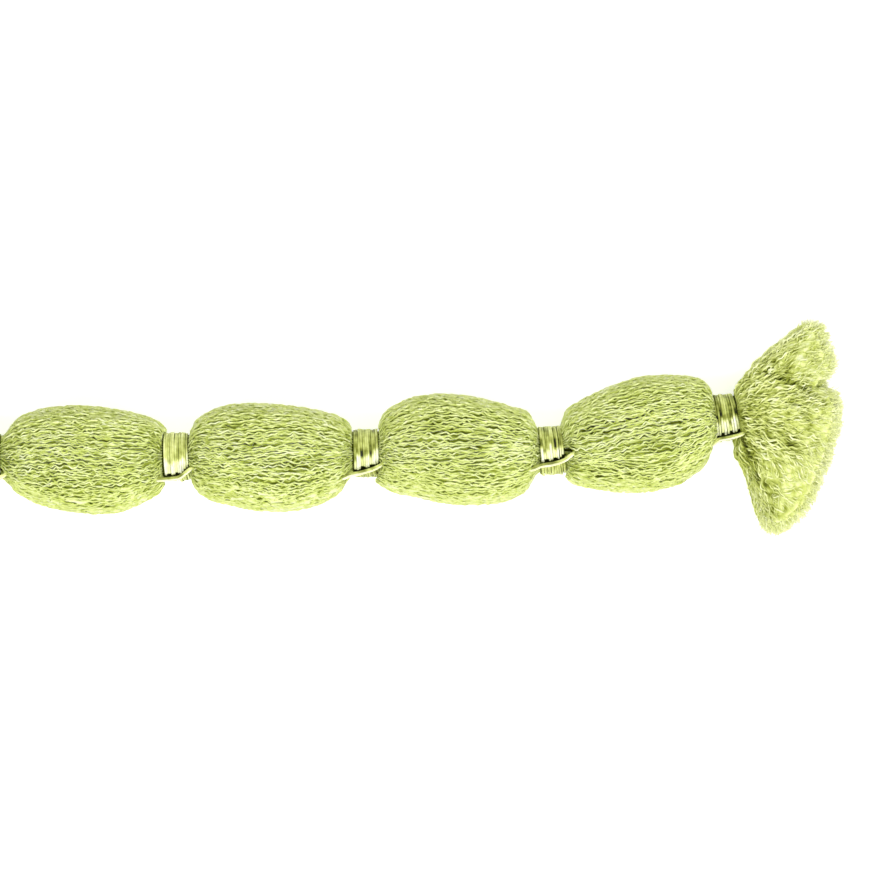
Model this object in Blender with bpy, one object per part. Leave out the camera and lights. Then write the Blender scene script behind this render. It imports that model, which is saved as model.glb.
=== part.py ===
"""Bead-tied yarn trim: one thick bundle of crinkled yarn, whipped with satin thread
at even steps into barrel-shaped beads, with a cut, fluffed tuft at each end.

Run it with blender --background --python part.py, or from the text editor.
The trim lies along +X on z = 0, and the origin is at the bottom centre of its box.
All the tables are in millimetres and degrees.
"""

import math

import bmesh
import bpy
import numpy as np
from mathutils import Vector

MM = 0.001

# ---------------------------------------------------------------- driving sizes
AXIS_HEIGHT = 6.85  # height of the bundle's middle line above the surface
BUNDLE_NECK_RADIUS = 2.60  # the bundle squeezed inside a binding
BINDING_INNER_RADIUS = 2.90
BEAD_HALF_HEIGHT = 7.35  # a bead's fullest half height, before it settles flat below
LIP_RADIUS = 3.70  # a bead's ends, where its yarns turn in to the neck
COLLAR_RADIUS = 3.62  # radius of the hollow in a bead's shoulder, round a binding
GAP = 0.30  # clearance between neighbouring pieces
FLOAT_THREAD_RADIUS = 0.25
FLOAT_SAG = 0.35  # how far a float dips towards the binding between its ends
RING_SIDES = 28  # points round the bundle, a multiple of four
BINDING_SIDES = 20

# Each tie: its centre along and across the run, the radius and length of its
# binding, and the way that the bundle heads there.
TIE_COLUMNS = ("along", "across", "radius", "length", "heading")
TIES = {
    "tie_1": (-50.90, -0.54, 3.27, 3.60, 0.0),
    "tie_2": (-25.58, -0.47, 3.31, 3.60, 0.5),
    "tie_3": (0.00, 0.00, 3.31, 3.60, 1.0),
    "tie_4": (25.04, 0.34, 3.34, 3.30, 3.5),
    "tie_5": (48.47, 4.79, 3.22, 3.20, 7.0),
}

# Each bead runs between two ties. Its two sides, +Y (far) and -Y (near), each
# start and end at their own distance from the first tie, and reach out from the
# line between the ties by the radii below, at these fractions of their length.
# Its top and underside start and end at distances of their own.
BEAD_FRACTIONS = (0.0, 0.04, 0.12, 0.25, 0.40, 0.55, 0.70, 0.85, 0.95, 1.0)
BEAD_COLUMNS = ("start", "end", "radii at BEAD_FRACTIONS")
BEADS = {
    "bead_1": {
        "far": (2.60, 24.20, (3.7, 4.79, 5.85, 6.64, 6.90, 6.73, 6.26, 5.54, 4.61, 3.7)),
        "near": (2.60, 23.95, (3.7, 4.55, 5.72, 6.76, 7.43, 7.74, 7.44, 6.25, 4.98, 3.8)),
        "top": (1.95, 23.35),
    },
    "bead_2": {
        "far": (2.00, 23.75, (3.7, 4.91, 6.02, 6.84, 7.00, 6.74, 6.29, 5.53, 4.72, 3.7)),
        "near": (2.05, 23.00, (3.7, 4.90, 5.98, 6.73, 7.45, 7.69, 7.48, 6.57, 5.30, 3.8)),
        "top": (1.85, 23.70),
    },
    "bead_3": {
        "far": (1.60, 22.95, (3.7, 5.28, 6.50, 7.54, 7.82, 7.59, 6.96, 6.01, 5.26, 3.7)),
        "near": (1.05, 22.60, (3.7, 4.44, 5.40, 5.98, 6.74, 7.15, 7.19, 6.55, 5.45, 3.8)),
        "top": (1.90, 23.25),
    },
    "bead_4": {
        "far": (2.00, 22.88, (3.7, 4.85, 5.66, 6.53, 7.21, 7.51, 7.18, 6.46, 5.56, 3.8)),
        "near": (0.95, 21.30, (3.8, 4.77, 5.65, 6.64, 7.49, 7.94, 7.87, 6.80, 5.43, 3.7)),
        "top": (2.15, 22.60),
    },
}
BEAD_STATIONS = (0.0, 0.015, 0.05, 0.10, 0.18, 0.28, 0.39, 0.50, 0.61, 0.72, 0.82, 0.90, 0.95, 0.985, 1.0)

# A cut tuft is a fan of yarn ends. Each row is one direction of the fan: how far
# across it that is (1 is the far edge, -1 the near edge), its bearing from the
# tie (0 is straight along the run), and how far the ends reach from the tie.
TUFT_COLUMNS = ("share", "bearing", "reach")
RIGHT_TUFT = (
    (1.00, 49.3, 17.1),
    (0.90, 44.0, 18.3),
    (0.75, 36.0, 18.1),
    (0.55, 24.0, 16.8),
    (0.40, 17.5, 14.8),
    (0.25, 11.0, 15.8),
    (0.00, 0.7, 15.9),
    (-0.25, -13.4, 15.4),
    (-0.50, -28.0, 15.6),
    (-0.70, -41.0, 16.3),
    (-0.85, -55.0, 17.5),
    (-0.95, -65.0, 17.4),
    (-1.00, -71.0, 16.0),
)
LEFT_TUFT = (
    (1.00, 52.0, 12.6),
    (0.75, 38.0, 14.6),
    (0.40, 19.0, 14.9),
    (0.00, 1.0, 14.4),
    (-0.40, -18.0, 15.1),
    (-0.75, -38.0, 14.4),
    (-1.00, -53.0, 12.4),
)
# How thick a tuft is along its length: the height of its top and underside in
# the middle, and of its two side edges. Below 0 the underside lies flat.
TUFT_PROFILE_COLUMNS = ("share of reach", "top", "underside", "edge")
TUFT_PROFILE = (
    (0.00, 10.80, 2.90, 6.85),
    (0.10, 12.10, 1.50, 6.60),
    (0.25, 13.40, -0.20, 6.20),
    (0.42, 14.00, -0.80, 5.70),
    (0.60, 13.80, -0.90, 5.20),
    (0.78, 12.70, -0.90, 4.70),
    (0.92, 10.90, -0.60, 4.30),
    (1.00, 8.80, 0.60, 4.10),
)
TUFT_ROOT_RADIUS = 3.95
TUFT_ROOT_ALONG = 1.35
TUFT_EDGE_BOW = {"far": 0.80, "near": 0.45}  # how far the side edges bulge out

COLOURS = {
    "yarn": (0.520, 0.620, 0.160, 1.0),
    "satin_thread": (0.560, 0.640, 0.200, 1.0),
}


# ---------------------------------------------------------------- small helpers
def clear_scene():
    for item in list(bpy.data.objects):
        bpy.data.objects.remove(item, do_unlink=True)


def material(name, colour, roughness, sheen):
    made = bpy.data.materials.new(name)
    made.use_nodes = True
    shader = made.node_tree.nodes["Principled BSDF"]
    shader.inputs["Base Color"].default_value = colour
    shader.inputs["Roughness"].default_value = roughness
    shader.inputs["Metallic"].default_value = 0.0
    shader.inputs["Sheen Weight"].default_value = sheen
    return made


def smooth_table(x, xs, ys):
    """A smooth curve through the points of a table that doesn't overshoot them."""
    xs, ys = np.asarray(xs, float), np.asarray(ys, float)
    step = np.diff(xs)
    slope = np.diff(ys) / step
    grade = np.zeros(len(xs))
    grade[0], grade[-1] = slope[0], slope[-1]
    for i in range(1, len(xs) - 1):
        if slope[i - 1] * slope[i] > 0:
            a = 2 * step[i] + step[i - 1]
            b = step[i] + 2 * step[i - 1]
            grade[i] = (a + b) / (a / slope[i - 1] + b / slope[i])
    i = int(np.clip(np.searchsorted(xs, x) - 1, 0, len(xs) - 2))
    t = float(np.clip((x - xs[i]) / step[i], 0.0, 1.0))
    return (
        (1 + 2 * t) * (1 - t) ** 2 * ys[i]
        + t * (1 - t) ** 2 * step[i] * grade[i]
        + t * t * (3 - 2 * t) * ys[i + 1]
        + t * t * (t - 1) * step[i] * grade[i + 1]
    )


def tie(name):
    return dict(zip(TIE_COLUMNS, TIES[name]))


def tie_axes(name):
    """The centre of a tie, the way that the bundle runs there, and its far side."""
    row = tie(name)
    angle = math.radians(row["heading"])
    centre = Vector((row["along"], row["across"], AXIS_HEIGHT))
    ahead = Vector((math.cos(angle), math.sin(angle), 0.0))
    return centre, ahead, Vector((-ahead.y, ahead.x, 0.0))


def rest_on_surface(point):
    """What would go through the surface lies flat on it instead."""
    return Vector((point.x, point.y, max(point.z, 0.0)))


def turned_ring(centre, across, radius):
    ring = []
    for j in range(RING_SIDES):
        turn = 2 * math.pi * j / RING_SIDES
        ring.append(
            centre
            + across * (radius * math.cos(turn))
            + Vector((0, 0, radius * math.sin(turn)))
        )
    return ring


# ---------------------------------------------------------------- the yarn bundle
def neck_rings(name):
    """The squeezed neck, with a shallow hollow in the shoulder at each side."""
    centre, ahead, across = tie_axes(name)
    reach = tie(name)["length"] / 2 + GAP
    return [
        turned_ring(centre - ahead * reach, across, COLLAR_RADIUS),
        turned_ring(centre - ahead * reach, across, BUNDLE_NECK_RADIUS),
        turned_ring(centre + ahead * reach, across, BUNDLE_NECK_RADIUS),
        turned_ring(centre + ahead * reach, across, COLLAR_RADIUS),
    ]


def bead_side(bead, side, share):
    """(distance along the bead's line, distance out from it) on one side."""
    start, end, radii = BEADS[bead][side]
    return start + (end - start) * share, smooth_table(share, BEAD_FRACTIONS, radii)


def bead_rings(number):
    first, _, _ = tie_axes("tie_%d" % number)
    second, _, _ = tie_axes("tie_%d" % (number + 1))
    ahead = (second - first).normalized()
    across = Vector((-ahead.y, ahead.x, 0.0))
    sides = [
        (bead_side("bead_%d" % number, "far", share), bead_side("bead_%d" % number, "near", share))
        for share in BEAD_STATIONS
    ]
    top_start, top_end = BEADS["bead_%d" % number]["top"]
    fullest = max((far + near) / 2 for (_, far), (_, near) in sides)
    rings = []
    for share, ((far_along, far), (near_along, near)) in zip(BEAD_STATIONS, sides):
        top_along = top_start + (top_end - top_start) * share
        swell = ((far + near) / 2 - LIP_RADIUS) / (fullest - LIP_RADIUS)
        height = LIP_RADIUS + (BEAD_HALF_HEIGHT - LIP_RADIUS) * swell
        ring = []
        for j in range(RING_SIDES):
            turn = 2 * math.pi * j / RING_SIDES
            level = math.cos(turn)
            side_along, out = (far_along, far) if level > 0 else (near_along, near)
            along = top_along + (side_along - top_along) * level**2
            out *= level
            ring.append(
                rest_on_surface(
                    first
                    + ahead * along
                    + across * out
                    + Vector((0, 0, height * math.sin(turn)))
                )
            )
        rings.append(ring)
    return rings


def tuft_rings(name, table, forward):
    """Rings of a fan of cut ends, from its root at the tie out to the cut."""
    centre, ahead, across = tie_axes(name)
    if forward < 0:
        ahead = -ahead
    shares = [row[0] for row in table][::-1]
    bearings = [row[1] for row in table][::-1]
    reaches = [row[2] for row in table][::-1]
    stops = [row[0] for row in TUFT_PROFILE]
    rings = []
    for stop in stops:
        top, under, edge = (
            smooth_table(stop, stops, [row[i] for row in TUFT_PROFILE])
            for i in (1, 2, 3)
        )
        ring = []
        for j in range(RING_SIDES):
            turn = 2 * math.pi * j / RING_SIDES
            share, lift = math.cos(turn), math.sin(turn)
            bearing = math.radians(smooth_table(share, shares, bearings))
            reach = smooth_table(share, shares, reaches)
            root = ahead * TUFT_ROOT_ALONG + across * (TUFT_ROOT_RADIUS * share)
            way = Vector((forward * math.cos(bearing), math.sin(bearing), 0.0))
            out = way * reach
            sideways = Vector((-way.y, way.x, 0.0))
            if sideways.dot(across) < 0:
                sideways = -sideways
            bow = TUFT_EDGE_BOW["far"] if share > 0 else TUFT_EDGE_BOW["near"]
            bow *= math.copysign(abs(share) ** 3, share) * math.sin(math.pi * stop)
            flat = centre + root + (out - root) * stop + sideways * bow
            fullness = abs(lift) ** (1.0 - 0.35 * stop)
            height = edge + ((top - edge) if lift > 0 else (under - edge)) * fullness
            ring.append(rest_on_surface(Vector((flat.x, flat.y, height))))
        rings.append(ring)
    return rings


def bridge(mesh, first, second):
    count = len(first)
    for j in range(count):
        k = (j + 1) % count
        mesh.faces.new((first[j], first[k], second[k], second[j]))


def close_flat_end(mesh, ring):
    """Joins the top of a ring to its underside, strip by strip across the fan."""
    count = len(ring)
    half = count // 2
    mesh.faces.new((ring[0], ring[1], ring[count - 1]))
    for j in range(1, half - 1):
        mesh.faces.new((ring[j], ring[j + 1], ring[count - j - 1], ring[count - j]))
    mesh.faces.new((ring[half - 1], ring[half], ring[half + 1]))


def yarn_bundle(coat, root):
    rings = list(reversed(tuft_rings("tie_1", LEFT_TUFT, -1)))
    rings += neck_rings("tie_1")
    for number in range(1, 5):
        rings += bead_rings(number)
        rings += neck_rings("tie_%d" % (number + 1))
    rings += tuft_rings("tie_5", RIGHT_TUFT, 1)

    mesh = bmesh.new()
    loops = [[mesh.verts.new(point * MM) for point in ring] for ring in rings]
    for first, second in zip(loops, loops[1:]):
        bridge(mesh, first, second)
    close_flat_end(mesh, loops[0])
    close_flat_end(mesh, loops[-1])
    bmesh.ops.recalc_face_normals(mesh, faces=mesh.faces)
    return finish("yarn_bundle", mesh, coat, root)


def finish(name, mesh, coat, root):
    data = bpy.data.meshes.new(name)
    mesh.to_mesh(data)
    mesh.free()
    data.shade_smooth()
    data.set_sharp_from_angle(angle=math.radians(55))
    data.materials.append(coat)
    made = bpy.data.objects.new(name, data)
    bpy.context.scene.collection.objects.link(made)
    made.parent = root
    return made


# ---------------------------------------------------------------- the bindings
def binding(number, coat, root):
    """A sleeve of wound thread: a turned profile with eased ends and a slight waist."""
    row = tie("tie_%d" % number)
    half, outer, inner = row["length"] / 2, row["radius"], BINDING_INNER_RADIUS
    profile = (
        (-half, inner),
        (-half, outer - 0.16),
        (-half + 0.25, outer),
        (0.0, outer - 0.08),
        (half - 0.25, outer),
        (half, outer - 0.16),
        (half, inner),
    )
    mesh = bmesh.new()
    loops = []
    for along, radius in profile:
        loop = []
        for j in range(BINDING_SIDES):
            turn = 2 * math.pi * j / BINDING_SIDES
            loop.append(
                mesh.verts.new(
                    Vector((along, radius * math.cos(turn), radius * math.sin(turn)))
                    * MM
                )
            )
        loops.append(loop)
    for first, second in zip(loops, loops[1:] + loops[:1]):
        bridge(mesh, first, second)
    bmesh.ops.recalc_face_normals(mesh, faces=mesh.faces)
    made = finish("binding_%d" % number, mesh, coat, root)
    made.location = Vector((row["along"], row["across"], AXIS_HEIGHT)) * MM
    made.rotation_euler = (0.0, 0.0, math.radians(row["heading"]))
    return made


# ---------------------------------------------------------------- the thread floats
# Each float bridges a neck on its near upper side. The columns give how far it
# starts before the tie's centre and ends past it, and the angle round the bundle
# from the near side up (0 is level with the axis, 90 is on top) at each end.
FLOAT_COLUMNS = ("before", "past", "angle at start", "angle at end", "out at start", "out at end")
FLOATS = {
    "float_thread_1": (1.6, 1.9, 50.0, 57.0, 4.90, 4.82),
    "float_thread_2": (1.9, 1.9, 50.0, 68.5, 4.68, 4.72),
    "float_thread_3": (1.9, 1.9, 52.5, 70.0, 4.64, 4.66),
    "float_thread_4": (1.9, 1.8, 64.0, 74.5, 4.60, 4.60),
    "float_thread_5": (1.55, 1.35, 53.8, 63.6, 4.85, 4.98),
}


def float_thread(number, coat, root):
    name = "float_thread_%d" % number
    before, past, start, end, out_start, out_end = FLOATS[name]
    curve = bpy.data.curves.new(name, "CURVE")
    curve.dimensions = "3D"
    curve.bevel_depth = FLOAT_THREAD_RADIUS * MM
    curve.bevel_resolution = 2
    curve.use_fill_caps = True
    steps = 7
    line = curve.splines.new("POLY")
    line.points.add(steps - 1)
    for i in range(steps):
        share = i / (steps - 1)
        along = -before + (before + past) * share
        angle = math.radians(start + (end - start) * share)
        out = out_start + (out_end - out_start) * share
        out -= FLOAT_SAG * math.sin(math.pi * share)
        line.points[i].co = (
            along * MM,
            -out * math.cos(angle) * MM,
            out * math.sin(angle) * MM,
            1.0,
        )
    curve.materials.append(coat)
    made = bpy.data.objects.new(name, curve)
    bpy.context.scene.collection.objects.link(made)
    made.parent = root
    row = tie("tie_%d" % number)
    made.location = Vector((row["along"], row["across"], AXIS_HEIGHT)) * MM
    made.rotation_euler = (0.0, 0.0, math.radians(row["heading"]))
    return made


def main():
    clear_scene()
    root = bpy.data.objects.new("trim", None)
    bpy.context.scene.collection.objects.link(root)

    bundle = yarn_bundle(material("yarn", COLOURS["yarn"], 0.9, 0.3), root)
    for number in range(1, 6):
        binding(
            number,
            material("satin_thread_%d" % number, COLOURS["satin_thread"], 0.35, 0.1),
            root,
        )
        float_thread(
            number,
            material("float_satin_%d" % number, COLOURS["satin_thread"], 0.4, 0.1),
            root,
        )

    # The origin goes to the bottom centre of the whole trim's box, which is the
    # bundle's own box.
    points = np.array([tuple(v.co) for v in bundle.data.vertices])
    low, high = points.min(axis=0), points.max(axis=0)
    root.location = (-(low[0] + high[0]) / 2, -(low[1] + high[1]) / 2, 0.0)
    bpy.context.view_layer.update()


main()
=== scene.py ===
import math

import bpy
import numpy as np
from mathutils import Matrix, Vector


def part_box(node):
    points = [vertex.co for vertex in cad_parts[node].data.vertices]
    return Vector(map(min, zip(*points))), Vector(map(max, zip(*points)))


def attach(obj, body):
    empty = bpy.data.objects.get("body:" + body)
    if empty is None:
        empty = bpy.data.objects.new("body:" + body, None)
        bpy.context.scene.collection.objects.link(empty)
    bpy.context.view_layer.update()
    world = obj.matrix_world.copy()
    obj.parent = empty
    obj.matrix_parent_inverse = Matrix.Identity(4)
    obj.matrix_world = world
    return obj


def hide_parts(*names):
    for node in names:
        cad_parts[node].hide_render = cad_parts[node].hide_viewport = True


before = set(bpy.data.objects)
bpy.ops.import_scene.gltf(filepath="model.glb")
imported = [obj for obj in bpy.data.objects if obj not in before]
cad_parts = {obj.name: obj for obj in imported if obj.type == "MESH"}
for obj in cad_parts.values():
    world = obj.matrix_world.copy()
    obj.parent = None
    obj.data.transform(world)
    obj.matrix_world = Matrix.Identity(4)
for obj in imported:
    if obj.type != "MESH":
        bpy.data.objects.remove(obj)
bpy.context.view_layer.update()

MM = 0.001
TAU = 2.0 * math.pi

# ---------------------------------------------------------------------------
# The trim's construction sizes, in millimetres and degrees, as in the model.
# ---------------------------------------------------------------------------
AXIS_HEIGHT = 6.85
BEAD_HALF_HEIGHT = 7.35
LIP_RADIUS = 3.70

TIE_COLUMNS = ("along", "across", "radius", "length", "heading")
TIES = (
    (-50.90, -0.54, 3.27, 3.60, 0.0),
    (-25.58, -0.47, 3.31, 3.60, 0.5),
    (0.00, 0.00, 3.31, 3.60, 1.0),
    (25.04, 0.34, 3.34, 3.30, 3.5),
    (48.47, 4.79, 3.22, 3.20, 7.0),
)

BEAD_FRACTIONS = (0.0, 0.04, 0.12, 0.25, 0.40, 0.55, 0.70, 0.85, 0.95, 1.0)
BEADS = (
    {
        "far": (2.60, 24.20, (3.7, 4.79, 5.85, 6.64, 6.90, 6.73, 6.26, 5.54, 4.61, 3.7)),
        "near": (2.60, 23.95, (3.7, 4.55, 5.72, 6.76, 7.43, 7.74, 7.44, 6.25, 4.98, 3.8)),
        "top": (1.95, 23.35),
    },
    {
        "far": (2.00, 23.75, (3.7, 4.91, 6.02, 6.84, 7.00, 6.74, 6.29, 5.53, 4.72, 3.7)),
        "near": (2.05, 23.00, (3.7, 4.90, 5.98, 6.73, 7.45, 7.69, 7.48, 6.57, 5.30, 3.8)),
        "top": (1.85, 23.70),
    },
    {
        "far": (1.60, 22.95, (3.7, 5.28, 6.50, 7.54, 7.82, 7.59, 6.96, 6.01, 5.26, 3.7)),
        "near": (1.05, 22.60, (3.7, 4.44, 5.40, 5.98, 6.74, 7.15, 7.19, 6.55, 5.45, 3.8)),
        "top": (1.90, 23.25),
    },
    {
        "far": (2.00, 22.88, (3.7, 4.85, 5.66, 6.53, 7.21, 7.51, 7.18, 6.46, 5.56, 3.8)),
        "near": (0.95, 21.30, (3.8, 4.77, 5.65, 6.64, 7.49, 7.94, 7.87, 6.80, 5.43, 3.7)),
        "top": (2.15, 22.60),
    },
)

RIGHT_TUFT = (
    # share across the fan, bearing, reach
    (1.00, 49.3, 17.1),
    (0.90, 44.0, 18.2),
    (0.75, 36.0, 17.8),
    (0.55, 24.0, 16.4),
    (0.40, 17.5, 14.0),
    (0.25, 11.0, 15.8),
    (0.00, 0.7, 15.9),
    (-0.25, -13.4, 15.4),
    (-0.50, -28.0, 15.6),
    (-0.70, -41.0, 16.3),
    (-0.85, -55.0, 17.5),
    (-0.95, -65.0, 17.4),
    (-1.00, -71.0, 16.0),
)
LEFT_TUFT = (
    (1.00, 52.0, 12.6),
    (0.75, 38.0, 14.6),
    (0.40, 19.0, 14.9),
    (0.00, 1.0, 14.4),
    (-0.40, -18.0, 15.1),
    (-0.75, -38.0, 14.4),
    (-1.00, -53.0, 12.4),
)
TUFT_PROFILE = (
    # share of reach, top, underside, edge
    (0.00, 10.80, 2.90, 6.85),
    (0.10, 12.10, 1.50, 6.60),
    (0.25, 13.40, -0.20, 6.20),
    (0.42, 14.00, -0.80, 5.70),
    (0.60, 13.80, -0.90, 5.20),
    (0.78, 12.70, -0.90, 4.70),
    (0.92, 10.90, -0.60, 4.30),
    (1.00, 8.80, 0.60, 4.10),
)

# ---------------------------------------------------------------------------
# The yarn and the thread.
# ---------------------------------------------------------------------------
PLY_RADIUS = 0.150
PLIES_ROUND = 140  # in the outer layer of a bead
PLY_POINTS = 113
INNER_RADIUS = 0.300
INNER_ROUND = 62  # in the layer under it
INNER_POINTS = 40
PLY_SIDES = 3
THREAD_PLY_RADIUS = 0.165
BAND_PERIOD = 1.17  # the wound thread lies in low ridges, about four turns in each

# The model's frame is centred on its box; the tables start at the third tie.
low3, high3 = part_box("binding_3")
HOME = np.array(
    [(low3.x + high3.x) / 2 / MM, (low3.y + high3.y) / 2 / MM, 0.0]
)


# ---------------------------------------------------------------------------
# Number helpers
# ---------------------------------------------------------------------------
def table_curve(x, xs, ys):
    """A smooth curve through a table's points that doesn't overshoot them."""
    xs, ys = np.asarray(xs, float), np.asarray(ys, float)
    if xs[0] > xs[-1]:
        xs, ys = xs[::-1], ys[::-1]
    step = np.diff(xs)
    slope = np.diff(ys) / step
    grade = np.zeros(len(xs))
    grade[0], grade[-1] = slope[0], slope[-1]
    for i in range(1, len(xs) - 1):
        if slope[i - 1] * slope[i] > 0:
            a = 2 * step[i] + step[i - 1]
            b = step[i] + 2 * step[i - 1]
            grade[i] = (a + b) / (a / slope[i - 1] + b / slope[i])
    x = np.asarray(x, float)
    i = np.clip(np.searchsorted(xs, x) - 1, 0, len(xs) - 2)
    t = np.clip((x - xs[i]) / step[i], 0.0, 1.0)
    return (
        (1 + 2 * t) * (1 - t) ** 2 * ys[i]
        + t * (1 - t) ** 2 * step[i] * grade[i]
        + t * t * (3 - 2 * t) * ys[i + 1]
        + t * t * (t - 1) * step[i] * grade[i + 1]
    )


def ease(x, low, high):
    t = np.clip((x - low) / (high - low), 0.0, 1.0)
    return t * t * (3 - 2 * t)


def soft_floor(z, floor, soft):
    """z where it is well above the floor, and never under it."""
    d = (z - floor) / soft
    return floor + soft * np.where(d > 20, d, np.log1p(np.exp(np.minimum(d, 20))))


def unit(v):
    return v / np.maximum(np.linalg.norm(v, axis=-1, keepdims=True), 1e-12)


def drift(rng, count, places, wave):
    """(count, len(places)) of smooth random waves about one unit high, one row
    each; places are millimetres along, wave is the length of a swing."""
    places = np.atleast_2d(places)
    span = places.max() - places.min()
    knots = int(span / wave) + 6
    values = rng.normal(0.0, 1.0, (count, knots))
    at = (places - places.min()) / wave + 1.0 + rng.random((count, 1))
    i = np.floor(at).astype(int)
    t = at - i
    rows = np.arange(count)[:, None]
    p = [values[rows, np.clip(i + k, 0, knots - 1)] for k in (-1, 0, 1, 2)]
    return (
        p[0] * (1 - t) ** 3
        + p[1] * (3 * t**3 - 6 * t**2 + 4)
        + p[2] * (-3 * t**3 + 3 * t**2 + 3 * t + 1)
        + p[3] * t**3
    ) / 6.0 * 1.45


def swirl(rng, waves, strength):
    """A smooth random function of two numbers, a sum of a few long waves."""
    terms = [
        (
            rng.uniform(*waves[0]) * rng.choice((-1, 1)),
            rng.uniform(*waves[1]),
            rng.uniform(0, TAU),
            rng.uniform(0.5, 1.0),
        )
        for _ in range(7)
    ]
    scale = strength / math.sqrt(sum(t[3] ** 2 for t in terms) / 2)

    def at(a, b):
        return scale * sum(
            w * np.sin(ka * a + kb * b + phase) for ka, kb, phase, w in terms
        )

    return at


# ---------------------------------------------------------------------------
# Mesh helpers
# ---------------------------------------------------------------------------
def build_mesh(name, points, faces_by_size, uv_by_size, colours=None, smooth=True):
    """A mesh from arrays: points in millimetres, and faces grouped by their
    number of corners. colours is an optional per-point (n, 4) array."""
    mesh = bpy.data.meshes.new(name)
    mesh.vertices.add(len(points))
    mesh.vertices.foreach_set("co", (points * MM).astype(np.float32).ravel())
    corners = np.concatenate([f.ravel() for f in faces_by_size]).astype(np.int32)
    sizes = np.concatenate([np.full(len(f), f.shape[1]) for f in faces_by_size])
    starts = np.concatenate([[0], np.cumsum(sizes)[:-1]]).astype(np.int32)
    mesh.loops.add(len(corners))
    mesh.loops.foreach_set("vertex_index", corners)
    mesh.polygons.add(len(sizes))
    mesh.polygons.foreach_set("loop_start", starts)
    mesh.polygons.foreach_set("use_smooth", np.full(len(sizes), smooth))
    mesh.update(calc_edges=True)
    if uv_by_size is not None:
        layer = mesh.uv_layers.new(name="OFBake")
        flat = np.concatenate([u.reshape(-1, 2) for u in uv_by_size])
        layer.data.foreach_set("uv", flat.astype(np.float32).ravel())
    if colours is not None:
        for title, values in colours.items():
            attribute = mesh.attributes.new(title, "FLOAT", "POINT")
            attribute.data.foreach_set("value", values.astype(np.float32).ravel())
    mesh.validate(verbose=False)
    made = bpy.data.objects.new(name, mesh)
    bpy.context.scene.collection.objects.link(made)
    return made


def tubes(centres, out, side, radius, sides, attributes=None):
    """Closed tubes along many paths at once.

    centres (S, M, 3), out and side (S, M, 3) across directions, radius (S, M)
    or a pair for the out and side directions. Returns points, faces and UVs,
    one cell of the UV square for each tube, ready for build_mesh."""
    count, steps = centres.shape[:2]
    if not isinstance(radius, tuple):
        radius = (radius, radius)
    turn = TAU * np.arange(sides) / sides
    ring = (
        out[:, :, None] * (np.cos(turn)[None, None, :, None] * radius[0][..., None, None])
        + side[:, :, None] * (np.sin(turn)[None, None, :, None] * radius[1][..., None, None])
    )
    points = (centres[:, :, None] + ring).reshape(-1, 3)

    index = np.arange(count * steps * sides).reshape(count, steps, sides)
    nxt = np.roll(index, -1, axis=2)
    quads = np.stack(
        [index[:, :-1], nxt[:, :-1], nxt[:, 1:], index[:, 1:]], axis=-1
    ).reshape(-1, 4)
    first = index[:, 0, ::-1].reshape(-1, sides)
    last = index[:, -1].reshape(-1, sides)
    caps = np.concatenate([first, last])

    # One cell of the UV square for each tube: the tube's own length in the
    # middle, and its two ends as small squares beside it.
    columns = max(1, int(round(math.sqrt(count * 7.0 / 420.0))))
    rows = -(-count // columns)
    cell_w, cell_h = 1.0 / columns, 1.0 / rows
    n = np.arange(count)
    u0, v0 = (n % columns) * cell_w, (n // columns) * cell_h
    pad = 0.0009
    cap_w = min(cell_w * 0.08, 0.02)
    left, right = u0 + cap_w + pad, u0 + cell_w - cap_w - pad
    bottom, top = v0 + cell_h * 0.08, v0 + cell_h * 0.92
    m = np.linspace(0, 1, steps)
    k = np.linspace(0, 1, sides + 1)
    u = left[:, None] + (right - left)[:, None] * m[None]
    v = bottom[:, None] + (top - bottom)[:, None] * k[None]
    uu = np.broadcast_to(u[:, :, None], (count, steps, sides + 1))
    vv = np.broadcast_to(v[:, None, :], (count, steps, sides + 1))
    grid = np.stack([uu, vv], axis=-1)
    quad_uv = np.stack(
        [grid[:, :-1, :-1], grid[:, :-1, 1:], grid[:, 1:, 1:], grid[:, 1:, :-1]],
        axis=3,
    ).reshape(-1, 4, 2)
    around = np.stack([np.cos(turn), np.sin(turn)], axis=-1) * 0.5 + 0.5
    size = np.array([cap_w - pad, (cell_h * 0.84)])
    cap_first = np.stack([u0 + pad / 2, bottom], axis=-1)[:, None] + around[None, ::-1] * size * 0.9
    cap_last = np.stack([right + pad, bottom], axis=-1)[:, None] + around[None] * size * 0.9
    cap_uv = np.concatenate([cap_first, cap_last])

    values = {}
    for title, value in (attributes or {}).items():
        value = np.asarray(value, float)
        if value.ndim == 1:
            value = np.broadcast_to(value[:, None], (count, steps))
        if value.ndim == 2:
            value = np.broadcast_to(value[:, :, None], (count, steps, sides))
        values[title] = value.reshape(-1)
    return points, [quads, caps], [quad_uv, cap_uv], values


def frames_along(paths, out_hint):
    """Unit directions across each path: out (as close to the hint as may be)
    and side."""
    ahead = np.gradient(paths, axis=1)
    ahead = unit(ahead)
    out = out_hint - ahead * np.sum(out_hint * ahead, axis=-1, keepdims=True)
    out = unit(out)
    side = np.cross(ahead, out)
    return ahead, out, side


def keep_off_floor(points, level=0.015, soft=0.05):
    """What would go through the surface is pressed flat just above it."""
    z = points[..., 2]
    near = z < level + 6 * soft
    points[..., 2] = np.where(near, soft_floor(z, level, soft), z)
    return points


# ---------------------------------------------------------------------------
# The beads' outer form
# ---------------------------------------------------------------------------
def tie_place(number):
    """The centre of a tie, the way that the run heads there, and its far side."""
    along, across, _, _, heading = TIES[number]
    angle = math.radians(heading)
    ahead = np.array([math.cos(angle), math.sin(angle), 0.0])
    centre = np.array([along, across, AXIS_HEIGHT]) + HOME
    return centre, ahead, np.array([-ahead[1], ahead[0], 0.0])


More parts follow.
